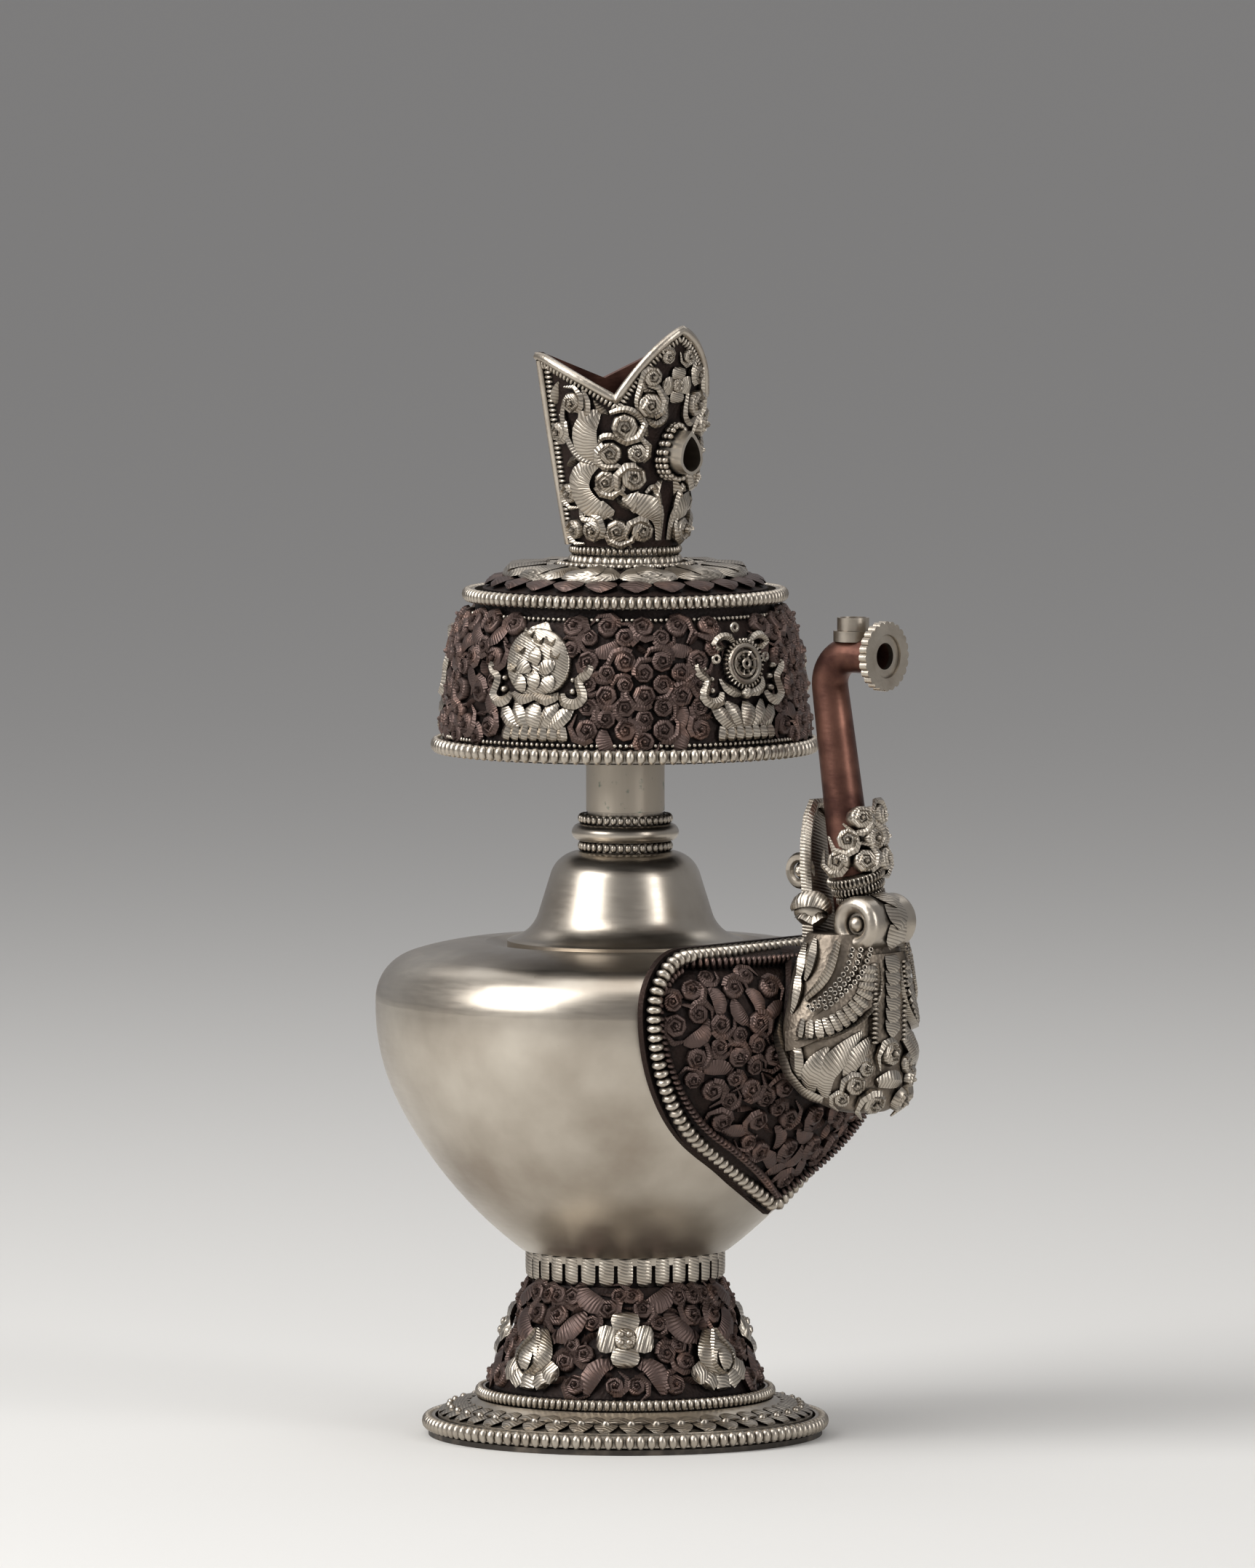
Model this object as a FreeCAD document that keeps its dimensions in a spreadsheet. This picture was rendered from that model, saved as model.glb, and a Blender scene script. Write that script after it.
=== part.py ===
# Ritual spouted water vase: turned, chased and soldered sheet metal, with a lid that lifts out and turns.
# The spout points along +X, the foot stands on Z = 0, and the lid lifts along +Z. Millimetres.
import os
import re

import FreeCAD
import Part
import Sketcher

Vector = FreeCAD.Vector
document = FreeCAD.newDocument("water_vase")
sheet = document.addObject("Spreadsheet::Sheet", "Sizes")

# Driving sizes. "rise" is how far a piece stands off or above what carries it, "share" is a part of a whole.
sizes = {
    # Metal and fits
    "wall": 1.2,
    "solder_gap": 0.05,
    "running_gap": 0.06,
    # Foot
    "base_radius": 37.2,
    "base_height": 1.0,
    "foot_rim_lap": 1.8,
    "foot_rim_width": 3.05,
    "foot_rim_height": 2.9,
    "skirt_width": 9.2,
    "skirt_rise": 3.1,
    "skirt_arc": 18.0,
    "foot_ring_lap": 0.4,
    "foot_ring_width": 2.8,
    "foot_ring_height": 2.3,
    "cone_height": 20.1,
    "blossom_share": 0.532,
    "blossom_petal": 2.5,
    "blossom_spread": 2.7,
    "blossom_rise": 1.6,
    "blossom_turn": -51.0,
    "bud_share": 0.308,
    "bud_radius": 3.2,
    "bud_length": 4.4,
    "collar_step": 1.0,
    "collar_thickness": 1.4,
    "collar_height": 5.75,
    "tongue_depth": 2.6,
    "tongue_count": 32,
    # Vessel
    "vessel_radius": 47.1,
    "belly_rise": 45.85,
    "belly_band": 1.5,
    "belly_arc": 40.0,
    "belly_angle": 26.7,
    "bowl_arc": 80.0,
    "shoulder_arc": 9.0,
    "shoulder_angle": 72.0,
    "crest_arc": 47.0,
    "mouth_inset": 3.457,
    "mouth_width": 5.9,
    "mouth_drop": 1.36,
    # Plaque around the spout
    "plaque_half_width": 37.4,
    "plaque_lift": 3.0,
    "plaque_corner": 11.5,
    "plaque_side_arc": 31.5,
    "plaque_slope": 31.0,
    "plaque_rise": 1.7,
    "plaque_edge": 12.7,
    "plaque_lip": 1.2,
    "plaque_undercut": 5.6,
    "plaque_depth": 4.0,
    "border_width": 3.0,
    "border_height": 3.0,
    # Main scrolls of the relief on the plaque and on the lid
    "scroll_radius": 1.8,
    "scroll_rise": 1.2,
    "scroll_pitch": 7.0,
    "scroll_row": 6.1,
    "scroll_margin": 7.5,
    "scroll_turn": 12.1,
    "scroll_low_share": 0.2,
    "scroll_row_share": 0.38,
    # Spout root and head
    "root_drop": 1.0,
    "root_half_width": 10.5,
    "root_half_height": 12.0,
    "root_rise": 2.6,
    "root_bore": 4.0,
    "frill_lap": 2.5,
    "frill_thickness": 1.0,
    "head_drop": 15.4,
    "head_height": 33.4,
    "head_out": 5.5,
    "head_half_depth": 10.0,
    "head_half_width": 15.0,
    "lip_radius": 14.2,
    "lip_width": 2.4,
    "lip_rise": 1.6,
    "lip_back": 3.2,
    "cheek_radius": 16.6,
    "cheek_rise": 1.0,
    "nose_half_width": 4.6,
    "nose_drop": 18.4,
    "nose_point": 3.0,
    "snout_radius": 5.2,
    "snout_length": 10.6,
    "snout_forward": 2.8,
    "snout_rise": 8.0,
    "volute_share": 0.7,
    "jaw_half_width": 6.6,
    "jaw_rise": 4.0,
    "jaw_straight": 8.0,
    "jaw_length": 14.0,
    "jaw_thickness": 2.2,
    "curl_radius": 3.4,
    "curl_length": 8.0,
    "curl_rise": 5.0,
    "eye_radius": 3.4,
    "flower_radius": 2.5,
    "flower_forward": 1.6,
    "flower_rise": 15.2,
    "flower_step": 5.0,
    "flower_spread": 3.4,
    # Spout tube and its mouth
    "tube_out": 9.9,
    "tube_foot_rise": 12.0,
    "tube_lean": 8.7,
    "tube_length": 52.0,
    "tube_taper": 0.9,
    "tube_radius": 3.4,
    "tube_wall": 0.9,
    "bend_radius": 5.5,
    "nose_length": 6.43,
    "rosette_radius": 5.7,
    "rosette_thickness": 1.6,
    "rosette_rim": 1.6,
    "rosette_teeth": 24,
    "tooth_radius": 0.85,
    "bezel_radius": 3.0,
    "bezel_wall": 0.5,
    "bezel_height": 2.4,
    "bezel_collar_width": 0.7,
    "bezel_collar_height": 1.1,
    # Neck
    "bell_edge": 1.6,
    "bell_flare_share": 0.556,
    "bell_flare_rise": 6.7,
    "bell_flare_arc": 7.0,
    "bell_top_share": 0.376,
    "bell_rise": 7.7,
    "bell_cap": 4.0,
    "bell_round": 6.0,
    "neck_radius": 7.1,
    "neck_wall": 0.84,
    "neck_bead_width": 1.9,
    "neck_bead_height": 1.9,
    "neck_ring_width": 3.0,
    "neck_ring_height": 3.2,
    # Plug
    "plug_depth": 13.4,
    "plug_wall": 1.0,
    "plug_lap": 0.3,
    # Lid
    "lid_lift": 11.1,
    "lid_radius": 33.9,
    "lid_rim_width": 2.8,
    "lid_rim_height": 3.0,
    "lid_taper": 1.9,
    "lid_wall_height": 16.9,
    "lid_shoulder": 2.7,
    "lid_shoulder_height": 6.4,
    "lid_arc": 12.0,
    "lid_groove_depth": 1.0,
    "lid_groove_height": 2.2,
    "lid_ledge": 2.3,
    "lid_ring_lap": 1.4,
    "lid_ring_width": 3.9,
    "lid_ring_height": 2.7,
    "dome_rise": 3.8,
    "dome_arc": 45.0,
    "dome_flat": 2.2,
    "sleeve_length": 23.0,
    "sleeve_wall": 1.1,
    "petal_half_width": 2.6,
    "petal_bow": 0.71,
    "petal_rise": 1.4,
    "petal_count": 12,
    "leaf_row": 3.55,
    "leaf_half_width": 2.2,
    "leaf_arc": 3.4,
    "leaf_rise": 0.8,
    "leaf_count": 24,
    "emblem_share": 0.614,
    "emblem_radius": 5.6,
    "emblem_base_share": 0.09,
    "emblem_base_width": 11.0,
    "emblem_base_height": 6.6,
    "emblem_rise": 1.7,
    "crown_bead_gap": 0.4,
    "crown_bead_width": 2.0,
    "crown_bead_height": 1.3,
    "lid_turn": -9.0,
    # Finial
    "finial_ring_outer": 10.8,
    "finial_ring_height": 2.5,
    "finial_bead_width": 2.7,
    "finial_bead_height": 1.7,
    "finial_wall": 0.9,
    "finial_flare": 7.9,
    "finial_height": 41.65,
    "finial_set_back": 2.6,
    "finial_back": 5.7,
    "crown_view": 42.0,
    "crown_dip_depth": 13.0,
    "crown_dip_share": 0.096,
    "crown_corner_drop": 5.2,
    "crown_corner_share": 0.846,
    "crown_arc": 40.0,
    "jewel_share": 0.414,
    "jewel_half_width": 2.8,
    "jewel_tip": 4.7,
    "jewel_drop": 3.5,
    "jewel_out": 8.3,
    "jewel_wall": 0.6,
    "jewel_collar_wall": 1.3,
    "jewel_collar_out": 5.3,
}

# Sizes that follow from the driving ones, from the table upwards. Heights are above the table.
derived = {
    # Foot
    "foot_rim_inner": "base_radius - foot_rim_lap",
    "foot_rim_outer": "foot_rim_inner + foot_rim_width",
    "foot_rim_top": "base_height + foot_rim_height",
    "skirt_ledge": "base_radius - skirt_width",
    "skirt_height": "foot_rim_top + skirt_rise",
    "foot_ring_outer": "skirt_ledge + foot_ring_lap",
    "foot_ring_inner": "foot_ring_outer - foot_ring_width",
    "cone_low_radius": "foot_ring_inner - 6 * solder_gap",
    "skirt_inner": "cone_low_radius - 2.75 * wall",
    "cone_start": "skirt_height + foot_ring_height",
    "cone_high": "cone_start + cone_height",
    "blossom_height": "cone_start + blossom_share * cone_height",
    "bud_height": "cone_start + bud_share * cone_height",
    "collar_low": "cone_high + 4 * solder_gap",
    "vessel_low": "cone_high + collar_height",
    # Vessel
    "belly_low": "vessel_low + belly_rise",
    "belly_high": "belly_low + belly_band",
    "belly_out": "vessel_radius - belly_arc",
    "bowl_out": "belly_out - (bowl_arc - belly_arc) * cos(belly_angle)",
    "bowl_up": "belly_low + (bowl_arc - belly_arc) * sin(belly_angle)",
    "vessel_foot_radius": "bowl_out + sqrt(bowl_arc^2 - (bowl_up - vessel_low)^2)",
    "collar_outer": "vessel_foot_radius - collar_step",
    "collar_inner": "collar_outer - collar_thickness",
    "cone_high_radius": "collar_outer - collar_step",
    "shoulder_out": "vessel_radius - shoulder_arc",
    "crest_out": "shoulder_out - (crest_arc - shoulder_arc) * cos(shoulder_angle)",
    "crest_up": "belly_high - (crest_arc - shoulder_arc) * sin(shoulder_angle) + crest_arc",
    "mouth_ledge": "crest_out - mouth_inset",
    "mouth_radius": "mouth_ledge - mouth_width",
    "mouth_height": "crest_up - mouth_drop",
    # Plaque
    "plaque_middle": "belly_low + plaque_lift",
    "plaque_front": "vessel_radius - plaque_edge",
    "plaque_back": "plaque_front - plaque_lip",
    # Spout
    "root_height": "belly_low - root_drop",
    "frill_half_width": "root_half_width + frill_lap",
    "frill_half_height": "root_half_height + frill_lap",
    "frill_rise": "root_rise + frill_thickness",
    "head_low": "root_height - head_drop",
    "head_top": "head_low + head_height",
    "head_middle": "vessel_radius + head_out",
    "tube_foot_out": "vessel_radius + tube_out",
    "tube_foot_height": "root_height + tube_foot_rise",
    "tube_low_radius": "tube_radius + tube_taper",
    "tube_bore": "tube_radius - tube_wall",
    "snout_out": "tube_foot_out + snout_forward",
    "snout_height": "tube_foot_height + snout_rise",
    "lip_out": "head_middle - 1.6 * lip_back",
    "lip_height": "head_top - 1.2 * lip_back",
    "lip_top": "snout_height - snout_radius - 8 * solder_gap",
    "jaw_low": "tube_foot_height + jaw_rise",
    "jaw_bend": "jaw_low + jaw_straight",
    "jaw_high": "jaw_bend + jaw_length",
    "curl_height": "jaw_bend + curl_rise",
    "eye_height": "head_top + 1.3 * eye_radius",
    "flower_out": "tube_foot_out + flower_forward",
    "flower_low": "tube_foot_height + flower_rise",
    "bend_reach": "bend_radius * (1 + sin(tube_lean))",
    "bend_run": "tube_length + bend_radius * cos(tube_lean)",
    "nose_start": "tube_foot_out + bend_reach * cos(tube_lean) - bend_run * sin(tube_lean)",
    "nozzle_up": "tube_foot_height + bend_reach * sin(tube_lean) + bend_run * cos(tube_lean)",
    "nozzle_out": "nose_start + nose_length",
    "rosette_recess": "rosette_radius - rosette_rim",
    "bezel_collar_radius": "bezel_radius + bezel_collar_width",
    # Neck and plug
    "neck_bead_outer": "neck_radius + neck_bead_width",
    "neck_ring_outer": "neck_radius + neck_ring_width",
    "neck_bore": "neck_radius - neck_wall",
    "bell_radius": "mouth_ledge - wall / 2",
    "bell_flare_radius": "neck_bead_outer + bell_flare_share * (bell_radius - neck_bead_outer)",
    "bell_top_radius": "neck_bead_outer + bell_top_share * (bell_radius - neck_bead_outer)",
    "bell_flare": "mouth_height + bell_flare_rise",
    "bell_top": "bell_flare + bell_rise",
    "neck_height": "bell_top + bell_cap",
    "neck_top": "neck_height + 2 * neck_bead_height + neck_ring_height + 12 * solder_gap",
    "plug_low": "neck_height - plug_depth",
    "plug_bore": "neck_bore - running_gap - plug_wall",
    "plug_radius": "neck_radius + plug_lap",
    # Lid
    "lid_low": "neck_top + lid_lift",
    "lid_rim_top": "lid_low + lid_rim_height",
    "lid_rim_outer": "lid_radius + lid_rim_width",
    "lid_foot": "lid_radius - solder_gap",
    "lid_middle": "lid_rim_top + lid_wall_height",
    "lid_middle_radius": "lid_radius - lid_taper",
    "lid_groove": "lid_middle + lid_shoulder_height",
    "lid_top_radius": "lid_middle_radius - lid_shoulder",
    "lid_groove_radius": "lid_top_radius - lid_groove_depth",
    "lid_ledge_radius": "lid_groove_radius - lid_ledge",
    "lid_ring_low": "lid_groove + lid_groove_height",
    "lid_ring_inner": "lid_groove_radius - lid_ring_lap",
    "lid_ring_outer": "lid_ring_inner + lid_ring_width",
    "plate_radius": "lid_ring_inner - solder_gap",
    "dome_edge": "lid_ring_low + lid_ring_height - 2 * solder_gap",
    "dome_height": "dome_edge + dome_rise",
    "dome_flat_radius": "finial_ring_outer + dome_flat",
    "sleeve_low": "dome_height - sleeve_length",
    "petal_low_radius": "dome_flat_radius + wall / 2",
    "petal_tip_radius": "plate_radius - leaf_row",
    "petal_arc": "petal_bow * (petal_tip_radius - petal_low_radius)",
    "leaf_low_radius": "petal_tip_radius + 8 * solder_gap",
    "leaf_tip_radius": "plate_radius - 5 * solder_gap",
    "emblem_height": "lid_rim_top + emblem_share * (lid_groove - lid_rim_top)",
    "emblem_base_low": "lid_rim_top + emblem_base_share * (lid_groove - lid_rim_top)",
    "crown_bead_inner": "finial_ring_outer + crown_bead_gap",
    "crown_bead_outer": "crown_bead_inner + crown_bead_width",
    # Finial
    "finial_bead_outer": "finial_ring_outer - 2 * solder_gap",
    "finial_bead_inner": "finial_bead_outer - finial_bead_width",
    "finial_low": "dome_height + finial_ring_height + finial_bead_height + 3 * solder_gap",
    "finial_low_radius": "finial_bead_outer - 8 * solder_gap",
    "finial_high_radius": "finial_low_radius + finial_flare",
    "crown_peak": "finial_low + finial_height",
    "finial_high": "crown_peak + wall",
    "crown_dip": "crown_peak - crown_dip_depth",
    "crown_dip_across": "crown_dip_share * finial_high_radius",
    "crown_peak_across": "(finial_high_radius - finial_set_back) * sin(crown_view)",
    "crown_corner": "crown_peak - crown_corner_drop",
    "crown_corner_across": "crown_corner_share * finial_high_radius",
    "corner_share": "(crown_corner - finial_low) / (finial_high - finial_low)",
    "corner_radius": "finial_low_radius + corner_share * finial_flare",
    "finial_back_low": "sqrt(finial_low_radius^2 - finial_back^2)",
    "finial_back_high": "sqrt(corner_radius^2 - (finial_back - corner_share * finial_set_back)^2)",
    "jewel_height": "finial_low + jewel_share * finial_height",
    "jewel_front": "finial_low_radius + jewel_out",
    "jewel_collar_front": "finial_low_radius + jewel_collar_out",
}

for row, (alias, amount) in enumerate({**sizes, **derived}.items(), start=1):
    sheet.set("A%d" % row, alias.replace("_", " "))
    sheet.set("B%d" % row, "=" + amount if alias in derived else str(amount))
    sheet.setAlias("B%d" % row, alias)
document.recompute()


def bind(text):
    """Turns the words of a formula into references to the sheet."""
    return re.sub(r"[a-z_]+", lambda found: "Sizes." + found.group()
                  if found.group() in sizes or found.group() in derived else found.group(), text)


def number(text):
    """The present value of a formula, used for a first guess that the bound formula then drives."""
    return float(sheet.evalExpression(bind(text)))


def drive(item, **formulas):
    """Binds properties of an item to formulas over the sheet."""
    for name, text in formulas.items():
        item.setExpression(name, bind(text))
    return item


def make(kind, label, **formulas):
    item = document.addObject(kind, label)
    item.Label = label
    return drive(item, **formulas)


def move(item, x="0", y="0", z="0", axis=None, angle="0"):
    """Places an item, with its offset and its turn bound to the sheet."""
    turn = FreeCAD.Rotation(axis or Vector(0, 0, 1), number(angle) or 0.0)
    item.Placement = FreeCAD.Placement(Vector(number(x), number(y), number(z)), turn)
    for name, text in (("x", x), ("y", y), ("z", z)):
        item.setExpression("Placement.Base." + name, bind(text))
    if axis is not None:
        item.setExpression("Placement.Rotation.Angle", bind(angle))
    return item


def turn_with_lid(item):
    return move(item, axis=Vector(0, 0, 1), angle="lid_turn")


def sketch_on(body, role, name, offset=None):
    """A sketch on one of the body's own origin planes, lifted off it by a formula."""
    sketch = body.newObject("Sketcher::SketchObject", name)
    plane = [feature for feature in body.Origin.OriginFeatures if feature.Role == role][0]
    sketch.AttachmentSupport = (plane, "")
    sketch.MapMode = "FlatFace"
    if offset is not None:
        drive(sketch, **{"AttachmentOffset.Base.z": offset})
    return sketch


def draw(sketch, corners):
    """Draws a closed outline. A corner is (across, up), or (across, up, radius, turn) when an arc leaves it.

    Turn +1 bends the outline to the left on its way to the next corner, -1 to the right.
    """
    points = [Vector(number(corner[0]), number(corner[1]), 0) for corner in corners]
    pieces = []
    for index, corner in enumerate(corners):
        start = points[index]
        end = points[(index + 1) % len(points)]
        if len(corner) == 2:
            pieces.append((sketch.addGeometry(Part.LineSegment(start, end)), 1, 2))
            continue
        radius = number(corner[2])
        turn = corner[3]
        chord = end - start
        left = Vector(-chord.y, chord.x, 0).normalize()
        depth = (radius ** 2 - (chord.Length / 2) ** 2) ** 0.5
        middle = (start + end) * 0.5 - left * (turn * (radius - depth))
        if turn > 0:
            pieces.append((sketch.addGeometry(Part.Arc(start, middle, end)), 1, 2))
        else:
            pieces.append((sketch.addGeometry(Part.Arc(end, middle, start)), 2, 1))
    for index, (piece, first, last) in enumerate(pieces):
        following = pieces[(index + 1) % len(pieces)]
        sketch.addConstraint(Sketcher.Constraint("Coincident", piece, last, following[0], following[1]))
    for (piece, first, last), corner, point in zip(pieces, corners, points):
        hold_point(sketch, piece, first, corner, point)
        if len(corner) == 4:
            held = sketch.addConstraint(Sketcher.Constraint("Radius", piece, number(corner[2])))
            sketch.setExpression("Constraints[%d]" % held, bind(corner[2]))
    return sketch


def hold_point(sketch, piece, end, corner, point):
    """Holds one end of a line or arc at the place its two formulas give."""
    ways = (("DistanceX", -2, corner[0], point.x), ("DistanceY", -1, corner[1], point.y))
    for kind, axis, text, amount in ways:
        if text == "0":
            sketch.addConstraint(Sketcher.Constraint("PointOnObject", piece, end, axis))
            continue
        held = sketch.addConstraint(Sketcher.Constraint(kind, -1, 1, piece, end, amount))
        sketch.setExpression("Constraints[%d]" % held, bind(text))


def turned(label, corners):
    """A piece turned about Z from an outline of (radius, height) corners."""
    body = make("PartDesign::Body", label)
    sketch = draw(sketch_on(body, "XZ_Plane", label + "_profile"), corners)
    turning = body.newObject("PartDesign::Revolution", label + "_turning")
    turning.Profile = sketch
    turning.ReferenceAxis = (sketch, ["V_Axis"])
    turning.Angle = 360
    return body


def round_ring(label, inner, outer, low, height):
    """A ring with a flat inner side and a round outer side: the core of a row of beads."""
    top = "%s + %s" % (low, height)
    belly = "%s - 0.4 * %s" % (outer, height)
    return turned(label, [(inner, low), (belly, low, "0.5125 * " + height, 1), (belly, top), (inner, top)])


def extruded(label, role, outlines, start, length):
    """A pad of one or more outlines from one plane of the body."""
    body = make("PartDesign::Body", label)
    sketch = sketch_on(body, role, label + "_outline", start)
    for corners in outlines:
        draw(sketch, corners)
    pad = body.newObject("PartDesign::Pad", label + "_pad")
    pad.Profile = sketch
    drive(pad, Length=length)
    return body


def around(body, feature, count):
    """Repeats a feature about Z."""
    pattern = body.newObject("PartDesign::PolarPattern", feature.Name + "_around")
    pattern.Originals = [feature]
    axis = [part for part in body.Origin.OriginFeatures if part.Role == "Z_Axis"][0]
    pattern.Axis = (axis, [""])
    pattern.Angle = 360
    drive(pattern, Occurrences=count)
    body.Tip = pattern
    return pattern


def cut(label, base, tool):
    item = make("Part::Cut", label)
    item.Base = base
    item.Tool = tool
    return item


def common(label, base, tool):
    item = make("Part::Common", label)
    item.Base = base
    item.Tool = tool
    return item


def fused(label, shapes):
    item = make("Part::MultiFuse", label)
    item.Shapes = shapes
    return item


def ring_of_beads(label, inner, outer, low, height):
    nodes[label] = round_ring(label, inner, outer, low, height)


nodes = {}
up = Vector(0, 0, 1)
sideways = Vector(0, 1, 0)


def outward_rod(label, radius, y, z, start, length):
    """A rod that points along +X."""
    rod = make("Part::Cylinder", label, Radius=radius, Height=length)
    return move(rod, start, y, z, sideways, "90")


# Foot
def build_foot():
    floor = "base_height + solder_gap"
    nodes["foot_base"] = make("Part::Cylinder", "foot_base", Radius="base_radius", Height="base_height")
    ring_of_beads("foot_rim_beads", "foot_rim_inner", "foot_rim_outer", floor, "foot_rim_height")
    skirt_out = "foot_rim_inner - solder_gap"
    nodes["foot_skirt"] = turned("foot_skirt", [
        (skirt_out + " - wall", floor),
        (skirt_out, floor),
        (skirt_out, "foot_rim_top", "skirt_arc", -1),
        ("skirt_ledge", "skirt_height"),
        ("skirt_inner", "skirt_height"),
        ("skirt_inner", "skirt_height - wall"),
        ("skirt_ledge - wall / 2", "skirt_height - wall", "skirt_arc + wall", 1),
        (skirt_out + " - wall", "foot_rim_top - wall"),
    ])
    ledge = "skirt_height + solder_gap"
    ring_of_beads("foot_ring_beads", "foot_ring_inner", "foot_ring_outer", ledge, "foot_ring_height")
    nodes["foot_cone"] = turned("foot_cone", [
        ("cone_low_radius - wall", ledge),
        ("cone_low_radius", ledge),
        ("cone_low_radius", "cone_start"),
        ("cone_high_radius", "cone_high"),
        ("collar_inner - solder_gap", "cone_high"),
        ("collar_inner - solder_gap", "vessel_low - solder_gap"),
        ("collar_inner - solder_gap - wall", "vessel_low - solder_gap"),
        ("collar_inner - solder_gap - wall", "cone_high"),
        ("cone_low_radius - wall", "cone_start"),
    ])
    build_foot_ornaments()
    build_petal_collar()


def build_foot_ornaments():
    """Four blossoms and, between them, four lotus buds, bent to the cone."""
    skin = turned("foot_ornament_skin", [
        ("cone_low_radius + solder_gap", "cone_start"),
        ("cone_low_radius + solder_gap + blossom_rise", "cone_start"),
        ("cone_high_radius + solder_gap + blossom_rise", "cone_high"),
        ("cone_high_radius + solder_gap", "cone_high"),
    ])
    length = "cone_low_radius + blossom_rise"
    spread = "blossom_spread"
    petals = [outward_rod("blossom_heart", "blossom_petal", "0", "blossom_height", "1", length)]
    for index, (y, z) in enumerate(((1, 1), (1, -1), (-1, -1), (-1, 1))):
        petals.append(outward_rod("blossom_petal_%d" % index, "blossom_petal", "%d * %s" % (y, spread),
                                  "blossom_height + %d * %s" % (z, spread), "1", length))
    blossom = fused("blossom_outline", petals)
    bud = fused("bud_outline", [
        outward_rod("bud_cup", "bud_radius", "0", "bud_height", "1", length),
        outward_rod("bud_tip", "bud_radius * 0.6", "0", "bud_height + bud_length", "1", length),
    ])
    for index in range(4):
        for name, outline, turn in (("foot_blossom", blossom, 0), ("foot_bud", bud, 45)):
            label = "%s_%d" % (name, index + 1)
            nodes[label] = move(common(label, skin, outline), axis=up,
                                angle="blossom_turn + %d" % (turn + 90 * index))


def build_petal_collar():
    """The band of tongues that hides the joint between foot and vessel."""
    top = "vessel_low - solder_gap"
    collar = turned("foot_petal_collar", [
        ("collar_inner", "collar_low"),
        ("collar_outer", "collar_low"),
        ("collar_outer", top),
        ("collar_inner", top),
    ])
    notch = sketch_on(collar, "YZ_Plane", "tongue_notch")
    half_pitch = "collar_outer * 180 * 0.0174533 / tongue_count"
    draw(notch, [
        ("-0.45 * " + half_pitch, "collar_low - 0.5"),
        ("0.45 * " + half_pitch, "collar_low - 0.5"),
        ("0", "collar_low + tongue_depth"),
    ])
    pocket = collar.newObject("PartDesign::Pocket", "tongue_pocket")
    pocket.Profile = notch
    pocket.Reversed = True
    drive(pocket, Length="collar_outer + 1")
    around(collar, pocket, "tongue_count")
    nodes["foot_petal_collar"] = collar


# Vessel
def bowl_radius(rise, height):
    """Radius of the lower bowl, or of a skin that stands off it, at a height."""
    return "bowl_out + sqrt((bowl_arc + %s)^2 - (bowl_up - (%s))^2)" % (rise, height)


def vessel_corners(rise, low):
    """The vessel's profile from its foot to its crest, stood off by a rise."""
    return [
        (bowl_radius(rise, low), low, "bowl_arc + " + rise, 1),
        ("belly_out + (belly_arc + %s) * cos(belly_angle)" % rise,
         "belly_low - (belly_arc + %s) * sin(belly_angle)" % rise, "belly_arc + " + rise, 1),
        ("vessel_radius + " + rise, "belly_low"),
        ("vessel_radius + " + rise, "belly_high", "shoulder_arc + " + rise, 1),
        ("shoulder_out + (shoulder_arc + %s) * cos(shoulder_angle)" % rise,
         "belly_high + (shoulder_arc + %s) * sin(shoulder_angle)" % rise, "crest_arc + " + rise, 1),
        ("crest_out", "crest_up + " + rise),
    ]


def backwards(corners):
    """The same outline drawn the other way, so that each arc leaves its other end and bends the other way."""
    result = []
    for index in range(len(corners) - 1, -1, -1):
        arc = corners[index - 1][2:] if index else ()
        result.append(corners[index][:2] + ((arc[0], -arc[1]) if arc else ()))
    return result


def vessel_skin(label, rise):
    """A solid copy of the vessel, stood off by a rise, for cutting other pieces to its curve."""
    corners = vessel_corners(rise, "vessel_low")
    return turned(label, [("0", "vessel_low")] + corners + [("0", corners[-1][1])])


def build_vessel():
    inside = vessel_corners("(0 - wall)", "vessel_low + wall")
    shell = turned("vessel_shell", [("0", "vessel_low")] + vessel_corners("0", "vessel_low") + [
        ("mouth_ledge", "mouth_height"),
        ("mouth_radius", "mouth_height"),
        ("mouth_radius", "mouth_height - wall"),
        ("mouth_ledge + wall / 2", "mouth_height - wall"),
    ] + backwards(inside) + [("0", "vessel_low + wall")])
    drain = outward_rod("vessel_drain", "root_bore", "0", "root_height", "vessel_radius / 2", "vessel_radius")
    nodes["vessel_body"] = cut("vessel_body", shell, drain)


# Plaque
def plaque_outline(inset):
    """Shield outline in (across, up): flat top, round corners, bowed sides and a straight run to the tip."""
    half = "(plaque_half_width - %s)" % inset
    side = "(plaque_side_arc - %s)" % inset
    corner = "(plaque_corner - %s)" % inset
    side_out = "(plaque_half_width - plaque_side_arc)"
    turn_across = "(%s + %s * sin(plaque_slope))" % (side_out, side)
    turn_up = "(plaque_middle - %s * cos(plaque_slope))" % side
    tip_up = "%s - %s * tan(plaque_slope)" % (turn_up, turn_across)
    top_across = "(plaque_half_width - plaque_corner)"
    top_up = "plaque_middle + " + corner
    return [
        ("0", tip_up),
        (turn_across, turn_up, side, 1),
        (half, "plaque_middle", corner, 1),
        (top_across, top_up),
        ("0 - " + top_across, top_up, corner, 1),
        ("0 - " + half, "plaque_middle", side, 1),
        ("0 - " + turn_across, turn_up),
    ]


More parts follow.
